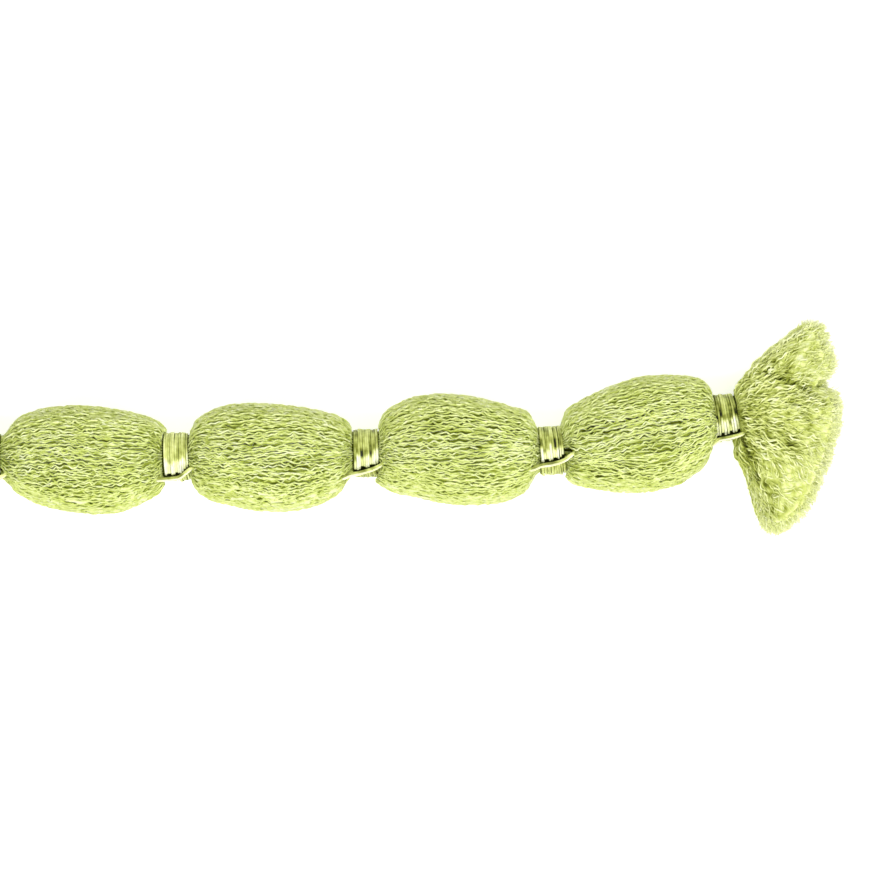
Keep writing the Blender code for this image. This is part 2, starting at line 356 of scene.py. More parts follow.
class Bead:
    """The outer form of one bead, from inside one binding to inside the next."""

    def __init__(self, number):
        first, _, _ = tie_place(number)
        second, _, _ = tie_place(number + 1)
        self.start = first
        self.ahead = unit(second - first)
        self.far = np.array([-self.ahead[1], self.ahead[0], 0.0])
        run = float(np.linalg.norm(second - first))
        shares = np.concatenate([[0.0], np.linspace(0.012, 0.988, 110), [1.0]])
        half_a, half_b = TIES[number][3] / 2, TIES[number + 1][3] / 2

        def outline(side):
            begin, end, radii = BEADS[number][side]
            along = begin + (end - begin) * shares
            out = table_curve(shares, BEAD_FRACTIONS, radii)
            lead = [
                (half_a - 1.3, 2.72),
                (half_a - 0.4, 2.78),
                (half_a - 0.02, 2.95),
                ((max(half_a, begin) + half_a) / 2 + 0.04, 3.30),
            ]
            trail = [
                (run - (max(half_b, run - end) + half_b) / 2 - 0.04, 3.30),
                (run - half_b + 0.02, 2.95),
                (run - half_b + 0.4, 2.78),
                (run - half_b + 1.3, 2.72),
            ]
            return (
                np.array([p[0] for p in lead] + list(along) + [p[0] for p in trail]),
                np.array([p[1] for p in lead] + list(out) + [p[1] for p in trail]),
            )

        far, near = outline("far"), outline("near")
        begin, end = BEADS[number]["top"]
        top_along = begin + (end - begin) * shares
        lead = [half_a - 1.3, half_a - 0.4, half_a - 0.02, (max(half_a, begin) + half_a) / 2 + 0.04]
        trail = [
            run - (max(half_b, run - end) + half_b) / 2 - 0.04,
            run - half_b + 0.02,
            run - half_b + 0.4,
            run - half_b + 1.3,
        ]
        top_along = np.array(lead + list(top_along) + trail)
        mean = (far[1] + near[1]) / 2
        fullest = mean.max()
        swell = np.clip((mean - LIP_RADIUS) / (fullest - LIP_RADIUS), 0, 1)
        tall = np.where(
            mean > LIP_RADIUS,
            LIP_RADIUS + (BEAD_HALF_HEIGHT - LIP_RADIUS) * swell,
            mean,
        )
        length = np.concatenate(
            [[0], np.cumsum(np.hypot(np.diff(top_along), np.diff(tall)))]
        )
        self.length = length[-1]
        fine = np.linspace(0, self.length, 700)
        kernel = np.exp(-0.5 * (np.arange(-12, 13) / 4.0) ** 2)
        kernel /= kernel.sum()

        def rounded(values):
            values = np.interp(fine, length, values)
            return np.convolve(np.pad(values, 12, mode="edge"), kernel, mode="valid")

        self.fine = fine
        self.tables = [
            rounded(v) for v in (far[0], near[0], top_along, far[1], near[1], tall)
        ]

    def outer(self, place, turn):
        """The point of the outer form at a distance along it and an angle round
        it: 0 is the far side, a quarter turn is the top."""
        s_far, s_near, s_top, r_far, r_near, r_tall = (
            np.interp(place, self.fine, t) for t in self.tables
        )
        c = np.cos(turn)
        along = s_top + (np.where(c > 0, s_far, s_near) - s_top) * c**2
        blend = ease(c, -0.12, 0.12)
        out = c * (r_near + (r_far - r_near) * blend)
        up = r_tall * np.sin(turn)
        p = (
            self.start
            + self.ahead * along[..., None]
            + self.far * out[..., None]
        )
        p[..., 2] = soft_floor(AXIS_HEIGHT + up, 0.0, 0.10)
        return p

    def normal(self, place, turn):
        d = 0.02
        a = self.outer(place + d, turn) - self.outer(place - d, turn)
        b = self.outer(place, turn + 0.01) - self.outer(place, turn - 0.01)
        return unit(np.cross(b, a))

    def radius(self, place):
        return np.interp(place, self.fine, (self.tables[3] + self.tables[4]) / 2)


# Lines along which the yarns part, so that the dark between them shows, and along which
# their colour is painted darker as shade: the bead, how far apart the yarns stand,
# and the line's points, in millimetres along and across from the tie before the bead.
GAP_SHADE = (1.0, 0.99, 0.76, 0.84)  # how dark the gaps between each bead's plies are
PARTING_COLUMNS = ("bead", "gap", "points (along, across)")
PARTINGS = (
    (3, 0.20, ((4.14, 1.89), (7.16, 1.87), (8.97, 2.02), (10.88, 2.23), (11.80, 2.41), (14.01, 2.49))),
    (3, 0.12, ((15.90, 0.41), (17.40, 0.55), (19.08, 0.45))),
    (3, 0.13, ((3.77, -4.02), (5.91, -4.71), (7.29, -5.40), (9.28, -5.49), (12.73, -6.40))),
    (2, 0.15, ((13.60, 0.20), (14.50, 0.27), (15.60, 0.22))),
    (2, 0.08, ((7.80, 3.85), (9.10, 3.92), (10.50, 3.85))),
    (2, 0.10, ((9.00, 3.00), (11.60, 3.05), (14.10, 2.90))),
    (2, 0.09, ((4.60, 1.96), (5.20, 2.00), (6.20, 1.94))),
    (2, 0.10, ((17.50, 3.10), (20.00, 2.50), (22.40, 1.70))),
    (1, 0.11, ((7.60, 1.40), (9.80, 1.50), (12.40, 1.30))),
    (1, 0.09, ((14.20, -1.60), (16.00, -1.75), (18.20, -1.50))),
    (0, 0.11, ((8.20, -1.00), (10.60, -1.15), (13.20, -0.95))),
    (0, 0.09, ((14.00, 2.40), (16.00, 2.35), (18.40, 2.00))),
)

# Where each float goes in between the yarns: the bead, the distance along it
# from inside the binding, the angle round it, and the size of the gap.
PIT_COLUMNS = ("bead", "from", "to", "angle", "gap")
PITS = (
    (0, 0.8, 3.0, 131.0, 0.42),
    (1, 0.8, 3.0, 124.0, 0.42),
    (2, 0.8, 2.9, 119.0, 0.45),
    (3, 0.8, 3.2, 101.0, 0.50),
)


def parted(bead_number, bead, place, turn, local):
    """The angles with the yarns moved aside along the parting lines."""
    for row in PARTINGS:
        if row[0] != bead_number:
            continue
        line = np.array(row[2])
        surface = bead.outer(place, turn) - bead.start
        along = surface @ bead.ahead
        across = surface @ bead.far
        middle = np.interp(along, line[:, 0], line[:, 1])
        here = ease(along, line[0, 0] - 0.5, line[0, 0] + 0.5) * ease(
            -along, -line[-1, 0] - 0.5, -line[-1, 0] + 0.5
        )
        off = across - middle
        push = 0.6 * here * row[1] * np.tanh(off / 0.16) * np.exp(-np.abs(off) / 0.9)
        rise = np.sin(turn)
        push = np.where(rise > 0.25, push, 0.0)
        turn = turn - push / (local * np.maximum(rise, 0.25))
    for row in PITS:
        if row[0] != bead_number:
            continue
        share = (place - row[1]) / (row[2] - row[1])
        here = ease(share, -0.1, 0.3) * ease(1 - share, -0.1, 0.4)
        off = (turn - math.radians(row[3])) * local
        push = here * row[4] * np.tanh(off / 0.2) * np.exp(-((off / 1.3) ** 2))
        turn = turn + push / local
    return turn


def parting_shade(bead_number, bead, place, turn, width=0.13):
    """How deep in shade the yarns are along the parting lines and at the pits."""
    shade = np.zeros_like(turn)
    for row in PARTINGS:
        if row[0] != bead_number:
            continue
        line = np.array(row[2])
        surface = bead.outer(place, turn) - bead.start
        along = surface @ bead.ahead
        across = surface @ bead.far
        middle = np.interp(along, line[:, 0], line[:, 1])
        here = ease(along, line[0, 0] - 0.3, line[0, 0] + 0.3) * ease(
            -along, -line[-1, 0] - 0.3, -line[-1, 0] + 0.3
        )
        dark = np.exp(-(((across - middle) / width) ** 2)) * here * (np.sin(turn) > 0.2)
        shade = np.maximum(shade, dark * 2.8 * row[1])
    for row in PITS:
        if row[0] != bead_number:
            continue
        middle = (row[1] + row[2]) / 2
        off = (turn - math.radians(row[3])) * np.maximum(bead.radius(place), 2.8)
        shade = np.maximum(
            shade, 0.65 * np.exp(-((off / 0.42) ** 2) - ((place - middle) / 0.75) ** 2)
        )
    return shade


def bead_layer(bead_number, bead, name, count, steps, thick, sunk, seed):
    """One layer of crinkled plies from inside one binding to inside the next."""
    rng = np.random.default_rng(seed + bead_number)
    place = np.linspace(0.0, bead.length, steps)[None, :].repeat(count, axis=0)
    inner = ease(place, 1.2, 4.0) * ease(bead.length - place, 1.2, 4.0)
    local = np.maximum(bead.radius(place), 2.8)

    base = (np.arange(count) + rng.uniform(-0.30, 0.30, count)) * TAU / count
    flow_rng = np.random.default_rng(4100 + bead_number)
    bend = swirl(flow_rng, ((1.0, 6.0), (0.10, 0.55)), 0.22)
    wavy = swirl(flow_rng, ((7.0, 22.0), (2.6, 6.0)), 0.050)
    sideways = (
        bend(base[:, None], place)
        + wavy(base[:, None], place)
        + 0.030 * drift(rng, count, place, 2.6)
        + 0.036 * drift(rng, count, place, 1.0)
    ) * inner
    sideways += (0.025 + 0.080 * inner) * drift(rng, count, place, 0.37)
    turn = base[:, None] + sideways / local
    turn = parted(bead_number, bead, place, turn, local)

    # Under the bindings the plies crowd: they lie three deep there, and all are
    # squeezed thinner.
    crowd = 1.0 - ease(local, 3.2, 6.4)
    under = (np.arange(count) % 3)[:, None] * crowd * 0.17
    squeeze = 1.0 - 0.32 * crowd
    size = thick * squeeze * (1 + 0.07 * drift(rng, count, place, 0.9))

    rise = (
        0.035 * drift(rng, count, place, 2.6)
        + 0.042 * drift(rng, count, place, 0.9)
        + 0.108 * drift(rng, count, place, 0.34)
    )
    depth = sunk + thick + under - rise * (0.35 + 0.65 * inner)
    depth = sunk - 0.02 + soft_floor(depth - sunk + 0.02, 0.0, 0.04)

    surface = bead.outer(place, turn)
    normal = bead.normal(place, turn)
    centres = surface - normal * depth[..., None]
    _, out, side = frames_along(centres, normal)

    # How deep each point lies under the bead's outer form: the colour is painted darker with depth, as shade in
    # the gaps, and darker still along the partings and at the pits.
    turn_ring = TAU * np.arange(PLY_SIDES) / PLY_SIDES
    deep = depth[..., None] - np.cos(turn_ring)[None, None] * size[..., None]
    deep = deep + parting_shade(bead_number, bead, place, turn)[..., None]
    # Each ply has its own tone, which changes along it.
    tone = rng.normal(0, 0.7, count)[:, None] + 1.35 * drift(rng, count, place, 0.42)
    # The yarns are painted paler and softer round the sides, a painted sheen at the rims.
    near = np.cos(turn) < 0
    rim = (np.abs(np.cos(turn)) ** np.where(near, 2.1, 5.0))[..., None]
    deep = deep + 0.08 * drift(rng, count, place, 0.34)[..., None]
    softer, paler = np.where(near, 0.70, 0.50)[..., None], np.where(near, -0.055, 0.0)[..., None]
    if thick > PLY_RADIUS:
        # The layer below is painted a little lighter overall, and paler on the near side, towards the key light,
        # as painted light.
        deep = deep - 0.05
        paler = paler + np.where(near, 0.22, 0.0)[..., None]
    deep = (deep * (1 - softer * rim) - paler * rim) * GAP_SHADE[bead_number]
    points, faces, uvs, values = tubes(
        centres,
        out,
        side,
        size,
        PLY_SIDES,
        {"tone": tone, "deep": deep, "loose": np.zeros(count)},
    )
    keep_off_floor(points)
    return build_mesh(name, points, faces, uvs, values)


def closed_grid(rings, name, deep=1.0, loose=0.0, tone=0.0, flat_end=False):
    """A closed lofted body through rings (R, N, 3), with its two ends filled. A
    flat last ring is closed by quads from its upper to its lower half."""
    rows, sides = rings.shape[:2]
    points = rings.reshape(-1, 3)
    index = np.arange(rows * sides).reshape(rows, sides)
    nxt = np.roll(index, -1, axis=1)
    quads = np.stack([index[:-1], nxt[:-1], nxt[1:], index[1:]], axis=-1).reshape(-1, 4)
    ends = np.stack([index[0, ::-1], index[-1]])
    u = np.linspace(0.02, 0.98, rows)
    v = np.linspace(0.10, 0.98, sides + 1)
    uu, vv = np.meshgrid(u, v, indexing="ij")
    grid = np.stack([uu, vv], axis=-1)
    quad_uv = np.stack(
        [grid[:-1, :-1], grid[:-1, 1:], grid[1:, 1:], grid[1:, :-1]], axis=2
    ).reshape(-1, 4, 2)
    turn = TAU * np.arange(sides) / sides
    circle = np.stack([np.cos(turn), np.sin(turn)], axis=-1) * 0.035
    end_uv = np.stack([circle[::-1] + (0.05, 0.045), circle + (0.15, 0.045)])
    if flat_end:
        one = np.arange(1, sides // 2 - 1)
        last = index[-1]
        strip = np.stack([last[one], last[one + 1], last[-one - 1], last[-one]], axis=-1)
        u_one = 0.02 + 0.96 * one / sides
        u_two = 0.02 + 0.96 * (one + 1) / sides
        strip_uv = np.stack(
            [
                np.stack([u_one, 0.03 + 0 * u_one], axis=-1),
                np.stack([u_two, 0.03 + 0 * u_one], axis=-1),
                np.stack([u_two, 0.05 + 0 * u_one], axis=-1),
                np.stack([u_one, 0.05 + 0 * u_one], axis=-1),
            ],
            axis=1,
        )
        quads = np.concatenate([quads, strip])
        quad_uv = np.concatenate([quad_uv, strip_uv])
        ends, end_uv = ends[:1], end_uv[:1]
    values = {
        title: np.broadcast_to(np.asarray(value, float), (rows, sides)).reshape(-1).copy()
        for title, value in (("deep", deep), ("loose", loose), ("tone", tone))
    }
    return build_mesh(name, points, [quads, ends], [quad_uv, end_uv], values)


def bead_core(bead, number):
    """The yarns further in, which show as a dark ground between the outer ones: coloured in a darker copy of the
    yarn, as painted shade.
    """
    place = np.linspace(0.05, bead.length - 0.05, 42)
    turn = TAU * np.arange(42) / 42
    pp, tt = np.meshgrid(place, turn, indexing="ij")
    p = bead.outer(pp, tt)
    n = bead.normal(pp, tt)
    rng = np.random.default_rng(70 + number)
    wave = swirl(rng, ((8.0, 20.0), (0.3, 1.2)), 0.04)
    depth = 0.44 + wave(tt, pp)
    for row in PITS:
        if row[0] == number:
            off = (tt - math.radians(row[3])) * np.maximum(bead.radius(pp), 2.8)
            middle = (row[1] + row[2]) / 2
            depth = depth + 0.9 * np.exp(-((off / 0.6) ** 2) - ((pp - middle) / 0.9) ** 2)
    depth = np.minimum(depth, bead.radius(pp) * 0.55)
    p = p - n * depth[..., None]
    # Painted shade: darker with depth, at the pits, and broadly along the partings.
    deep = 0.42 + 0.55 * (depth - 0.44) + parting_shade(number, bead, pp, tt, 0.7)
    return closed_grid(p, "bead_%d_core" % (number + 1), deep)


# ---------------------------------------------------------------------------
# Bindings and floats
# ---------------------------------------------------------------------------
def coil_angle(turns):
    """The angles of the points along a coil, closest together where the float
    crosses it."""
    grid = np.linspace(0, TAU, 721)
    density = 1.0 + 2.6 * np.exp(-(((grid - math.radians(118)) / math.radians(26)) ** 2))
    total = np.concatenate([[0], np.cumsum((density[1:] + density[:-1]) / 2)])
    total /= total[-1]
    at = 0.62 + np.linspace(0, turns, turns * 70 + 1)
    whole = np.floor(at)
    return TAU * whole + np.interp(at - whole, total, grid)


def binding_coil(number):
    """Satin thread wound round the neck, turn beside turn, lying in low ridges."""
    centre, ahead, far = tie_place(number)
    _, _, radius, length, heading = TIES[number]
    rng = np.random.default_rng(900 + number)
    up = np.array([0.0, 0.0, 1.0])
    half_high, half_wide = 0.110, 0.176
    pitch = 0.300
    reach = length - 2 * half_wide
    turns = round(reach / pitch)
    angle = coil_angle(turns)
    share = (angle - angle[0]) / (angle[-1] - angle[0])
    steps = len(angle)
    run = share * turns * 20.5
    along = -reach / 2 + reach * share
    slant = 0.05 + 0.016 * heading
    along = along - slant * np.cos(angle)
    along = along - 0.06 * heading * (1 - share) * (1 - np.cos(angle)) / 2
    along = along + 0.022 * drift(rng, 1, run[None], 5.0)[0] + 0.016 * drift(rng, 1, run[None], 1.6)[0]
    # The turns wander together, side by side.
    together = swirl(rng, ((2.0, 6.0), (0.6, 2.0)), 0.030)
    along = along + together(angle % TAU, along) * np.sin(angle / 2) ** 2
    phase = rng.uniform(0, TAU)
    swell = 1.0 + 0.35 * drift(rng, 1, run[None], 9.0)[0]
    wave = TAU * (along + 0.10 * np.sin(angle + phase)) / BAND_PERIOD + phase
    ridge = 0.050 * swell * np.cos(wave)
    slope = -0.050 * swell * np.sin(wave) * TAU / BAND_PERIOD
    lift = 0.022 * drift(rng, 1, run[None], 7.0)[0] + 0.026 * drift(rng, 1, run[None], 2.0)[0]
    out_r = radius - half_high - 0.05 + ridge + lift
    end_drop = 0.16 * (1 - ease(share, 0.0, 0.07)) + 0.16 * ease(share, 0.93, 1.0)
    out_r = out_r - end_drop
    # The yarns under the binding aren't a true circle.
    out_r += 0.04 * np.cos(2 * angle + 0.6) + 0.025 * np.cos(3 * angle + 2.0)
    ring = far * np.cos(angle)[:, None] + up * np.sin(angle)[:, None]
    path = centre + ahead * along[:, None] + ring * out_r[:, None]
    path = path[None]
    lean = unit(ring - ahead * slope[:, None])
    _, out, side = frames_along(path, lean[None])
    thick = 1 + 0.09 * drift(rng, 1, run[None], 2.6)

    # The colour: olive and streaky over the far side, painted darker as shade above the pale zone; a painted
    # highlight, pale, over the near shoulder;
    # painted black shade beside the float; and painted shade in the grooves between the ridges and turns.
    each = np.interp(share * turns, np.arange(turns + 1), rng.normal(0, 1, turns + 1))
    tone = 0.50 * each + 0.75 * drift(rng, 1, run[None], 1.8)[0] + TONE_OVER[number]
    tone = tone + 0.50 * drift(rng, 1, run[None], 0.6)[0]
    rib = 0.5 - 0.5 * np.cos(wave)
    bulge = np.abs(np.cos(wave / 2)) ** 0.7
    on_top = (np.sin(angle) > 0).astype(float)
    across = out_r * np.cos(angle)
    line = np.array(FLOATS[number])
    beside = across - np.interp(along, line[:, 0], line[:, 1])
    low = 0.50 + 0.40 * (1 - bulge) + 0.05 * drift(rng, 1, run[None], 5.0)[0]
    tip = HIGHLIGHT_HEIGHTS[number] + 0.32 * each + 0.20 * np.cos(wave)
    shade = ease(beside, 0.05, 0.19) * (1 - ease(beside, low - 0.06, low + 0.08)) * on_top
    painted_highlight = ease(beside, low, low + 0.10) * (1 - ease(beside, tip - 0.45, tip + 0.25)) * on_top
    tone = tone * (1 - 0.5 * painted_highlight) + painted_highlight * (6.2 - 2.0 * rib)
    painted_dark_zone = ease(beside, tip - 0.1, tip + 0.5) * (1 - ease(beside, tip + 0.5, tip + 1.9)) * on_top
    # Every other turn is painted darker there, as shade, and a little darker everywhere.
    every = 0.5 - 0.5 * np.cos(math.pi * share * turns + phase)
    painted_dark_zone = painted_dark_zone * (0.25 + 0.45 * rib + 0.75 * every)
    deep = 0.30 * rib + 0.35 * every + 6.0 * shade + painted_dark_zone * DARK_ZONE_OVER[number]
    gloss = 0.95 * painted_highlight - 0.3 * shade + 0.12
    points, faces, uvs, values = tubes(
        path,
        out,
        side,
        (half_high * thick, half_wide * thick),
        5,
        {"tone": tone[None], "deep": deep[None], "loose": gloss[None]},
    )
    return build_mesh("binding_%d_thread" % (number + 1), points, faces, uvs, values)


def neck_core(number):
    """The squeezed yarns inside a binding."""
    centre, ahead, far = tie_place(number)
    _, _, radius, length, _ = TIES[number]
    up = np.array([0.0, 0.0, 1.0])
    turn = TAU * np.arange(32) / 32
    rows = []
    for along, r in (
        (-length / 2 - 0.25, 2.2),
        (-length / 2 + 0.05, radius - 0.45),
        (-length / 4, radius - 0.30),
        (0.0, radius - 0.30),
        (length / 4, radius - 0.30),
        (length / 2 - 0.05, radius - 0.45),
        (length / 2 + 0.25, 2.2),
    ):
        rows.append(
            centre
            + ahead * along
            + (far * np.cos(turn)[:, None] + up * np.sin(turn)[:, None]) * r
        )
    # Its colour is painted dark, in a darker copy of the yarn, as the shade inside the binding.
    return closed_grid(np.array(rows), "neck_%d_core" % (number + 1), 0.85)


# Each float's line, from inside one bead to inside the next, from its tie's
# centre: along, across, and out from the tie's axis.
TONE_OVER = (0.8, 1.4, -0.2, 0.1, -0.8)  # of each binding
DARK_ZONE_OVER = (0.7, 0.5, 1.25, 1.2, 1.1)  # how dark the painted shade on the thread is above the painted highlight zone
HIGHLIGHT_HEIGHTS = (2.3, 2.35, 2.2, 2.15, 2.25)  # of the painted highlight zone, from the float
FLOAT_COLUMNS = ("along", "across", "out")
FLOATS = (
    (
        (-3.7, -3.00, 3.60),
        (-3.0, -3.15, 4.35),
        (-1.9, -3.10, 4.62),
        (-0.5, -3.02, 4.50),
        (0.6, -2.93, 4.48),
        (1.49, -2.82, 4.50),
        (2.21, -2.59, 4.45),
        (2.75, -2.20, 4.10),
        (3.2, -1.95, 3.40),
    ),
    (
        (-3.1, -3.00, 3.50),
        (-2.39, -3.08, 4.42),
        (-1.6, -3.06, 4.55),
        (-0.9, -3.03, 4.50),
        (0.45, -2.84, 4.42),
        (1.4, -2.24, 4.40),
        (2.05, -1.75, 4.25),
        (2.6, -1.50, 3.60),
    ),
    (
        (-3.8, -3.15, 3.80),
        (-3.14, -3.25, 4.55),
        (-2.17, -2.89, 4.60),
        (-1.13, -2.71, 4.52),
        (-0.1, -2.48, 4.45),
        (0.95, -2.18, 4.42),
        (1.78, -1.79, 4.35),
        (2.27, -1.55, 3.95),
        (2.7, -1.40, 3.40),
    ),
    (
        (-4.2, -2.35, 4.00),
        (-3.73, -2.41, 4.60),
        (-2.67, -2.30, 4.72),
        (-1.62, -1.94, 4.55),
        (-0.23, -1.81, 4.42),
        (0.82, -1.61, 4.42),
        (1.66, -1.32, 4.45),
        (2.39, -0.81, 4.50),
        (2.90, -0.50, 3.90),
    ),
    (
        (-3.0, -3.35, 3.80),
        (-2.41, -3.35, 4.62),
        (-1.31, -2.82, 4.60),
        (-0.4, -2.78, 4.50),
        (0.53, -2.68, 4.48),
        (1.46, -2.52, 4.45),
        (1.95, -2.35, 4.25),
        (2.45, -2.15, 3.50),
    ),
)


def thread_float(number):
    """The short span of binding thread, two plies side by side."""
    centre, ahead, far = tie_place(number)
    up = np.array([0.0, 0.0, 1.0])
    keys = np.array(
        [
            centre + ahead * s + far * c + up * math.sqrt(max(r * r - c * c, 0.01))
            for s, c, r in FLOATS[number]
        ]
    )
    t = np.arange(len(keys))
    fine = np.linspace(0, len(keys) - 1, 90)
    path = np.stack([table_curve(fine, t, keys[:, i]) for i in range(3)], axis=-1)
    kernel = np.array([1.0, 2.0, 3.0, 4.0, 3.0, 2.0, 1.0])
    kernel /= kernel.sum()
    path = np.stack(
        [np.convolve(np.pad(path[:, i], 3, mode="edge"), kernel, mode="valid") for i in range(3)],
        axis=-1,
    )
    path = path[None]
    outward = path[0] - centre
    outward = outward - np.outer(outward @ ahead, ahead)
    _, out, side = frames_along(path, outward[None])
    length = np.concatenate(
        [[0], np.cumsum(np.linalg.norm(np.diff(path[0], axis=0), axis=1))]
    )
    # Side by side across the middle of the span, with a slow turn along it.
    middle = length[-1] * 0.5
    spin = 0.47 * math.pi + TAU * (length - middle) / 38.0
    plies = []
    for k in (0, 1):
        angle = spin + math.pi * k
        plies.append(
            path[0]
            + out[0] * (0.155 * np.cos(angle))[:, None]
            + side[0] * (0.155 * np.sin(angle))[:, None]
        )
    paths = np.stack(plies)
    rng = np.random.default_rng(1300 + number)
    radius = THREAD_PLY_RADIUS * (1 + 0.05 * drift(rng, 2, np.stack([length, length]), 0.9))
    # The near ply is painted pale, as lit by the key light, and the far ply dark olive, as in its shade; the far
    # ply is painted paler near the span's end.
    points, faces, uvs, values = tubes(
        paths,
        np.repeat(out, 2, axis=0),
        np.repeat(side, 2, axis=0),
        radius,
        8,
        {
            "tone": np.stack(
                [
                    5.6 + 0.5 * drift(rng, 1, length[None], 1.2)[0],
                    -1.1
                    + 0.9 * drift(rng, 1, length[None], 0.7)[0]
                    + 3.6 * ease(length / length[-1], 0.70, 0.82),
                ]
            ),
            "deep": np.full(paths.shape[:2], 0.6),
            "loose": np.array([0.55, 0.15]),
        },
    )
    return build_mesh(
        "float_thread_%d_plies" % (number + 1), points, faces, uvs, values
    )


# ---------------------------------------------------------------------------
# The cut tufts
# ---------------------------------------------------------------------------
class Tuft:
    """The outer form of a fan of cut yarn ends, from its tie outwards."""

    def __init__(self, tie, table, forward, creases=(), patches=()):
        self.centre, self.ahead, self.far = tie_place(tie)
        if forward < 0:
            self.ahead = -self.ahead
        self.table = np.array(table)
        self.profile = np.array(TUFT_PROFILE)
        self.root_along = TIES[tie][3] / 2 - 0.05
        self.root_radius = 3.60
        self.flare = 1.0 if forward > 0 else 0.0
        self.ragged = swirl(
            np.random.default_rng(60 + tie), ((22.0, 75.0), (0.0, 0.1)), 0.15
        )
        self.creases = creases
        self.patches = patches
        self.forward = forward

    def crease(self, flat):
        """How much a crease lowers the top at each place, and how much darker the colour is painted there:
        painted shade along the creases, and darker patches.
        """
        x = (flat[..., 0] - self.centre[0]) * self.forward
        y = flat[..., 1] - self.centre[1]
        low = np.zeros_like(x)
        shade = np.zeros_like(x)
        for x0, y0, x1, y1, deep, wide, dark in self.creases:
            dx, dy = x1 - x0, y1 - y0
            t = np.clip(((x - x0) * dx + (y - y0) * dy) / (dx * dx + dy * dy), 0, 1)
            d = np.hypot(x - x0 - dx * t, y - y0 - dy * t)
            low = np.maximum(low, deep * np.exp(-((d / wide) ** 2)))
            shade = np.maximum(shade, dark * np.exp(-((d / wide / 0.45) ** 2)))
        for px, py, wide, dark in self.patches:
            d = np.hypot(x - px, y - py)
            shade = shade + dark * np.exp(-((d / wide) ** 2))
        return low, shade + 0.20 * low

    def point(self, stop, share, lift, full=1.0, give_crease=False):
        """stop is the share of the reach, share is where it is across the fan
        (1 far, -1 near), lift is -1 for the underside and 1 for the top, and full
        is how far out from the middle layer."""
        stop, share, lift, full = np.broadcast_arrays(stop, share, lift, full)
        columns = self.table
        # Bearings are from the trim's own length, not from the tie's heading.
        bearing = np.radians(table_curve(share, columns[:, 0], columns[:, 1]))
        reach = table_curve(share, columns[:, 0], columns[:, 2])
        reach = reach + self.ragged(share, 0.0 * share)
        body = np.clip(stop, 0.0, 1.0)
        top, under, edge = (
            table_curve(body, self.profile[:, 0], self.profile[:, i]) for i in (1, 2, 3)
        )
        way = np.stack(
            [self.forward * np.cos(bearing), np.sin(bearing), np.zeros_like(bearing)],
            axis=-1,
        )
        root = (
            self.ahead * self.root_along
            + self.far * (self.root_radius * share * (0.35 + 0.65 * full))[..., None]
        )
        out = way * reach[..., None]
        left = np.stack([-way[..., 1], way[..., 0], np.zeros_like(way[..., 0])], axis=-1)
        turn = np.sign(np.sum(left * self.far, axis=-1))
        left = left * turn[..., None]
        bow = np.where(share > 0, 0.80, 0.45) * np.sign(share) * np.abs(share) ** 3
        bow = bow * np.sin(np.pi * body)
        # The near flap swells out beside the binding.
        bow = bow - self.flare * np.where(share < 0, np.abs(share) ** 3, 0.0) * np.exp(
            -(((body - 0.10) / 0.13) ** 2)
        )
        flat = self.centre + root + (out - root) * stop[..., None] + left * bow[..., None]
        round_ = np.sqrt(np.clip(1 - share**2, 0, 1)) ** (1.0 - 0.35 * body)
        up = np.where(lift > 0, (top - edge) * lift, (edge - under) * lift)
        height = edge + up * round_ * full
        low, shade = self.crease(flat)
        height = height - np.where(lift > 0, 1.0, 0.0) * low * np.clip(full, 0, 1)
        p = np.array(flat)
        p[..., 2] = soft_floor(height, 0.12, 0.12)
        return (p, shade) if give_crease else p

    def normal(self, stop, share, lift):
        d = 0.004
        a = self.point(stop + d, share, lift) - self.point(stop - d, share, lift)
        hi = np.clip(share + d, -1, 1)
        lo = np.clip(share - d, -1, 1)
        b = self.point(stop, hi, lift) - self.point(stop, lo, lift)
        n = unit(np.cross(a, b))
        return np.where((n[..., 2] * np.sign(lift) < 0)[..., None], -n, n)


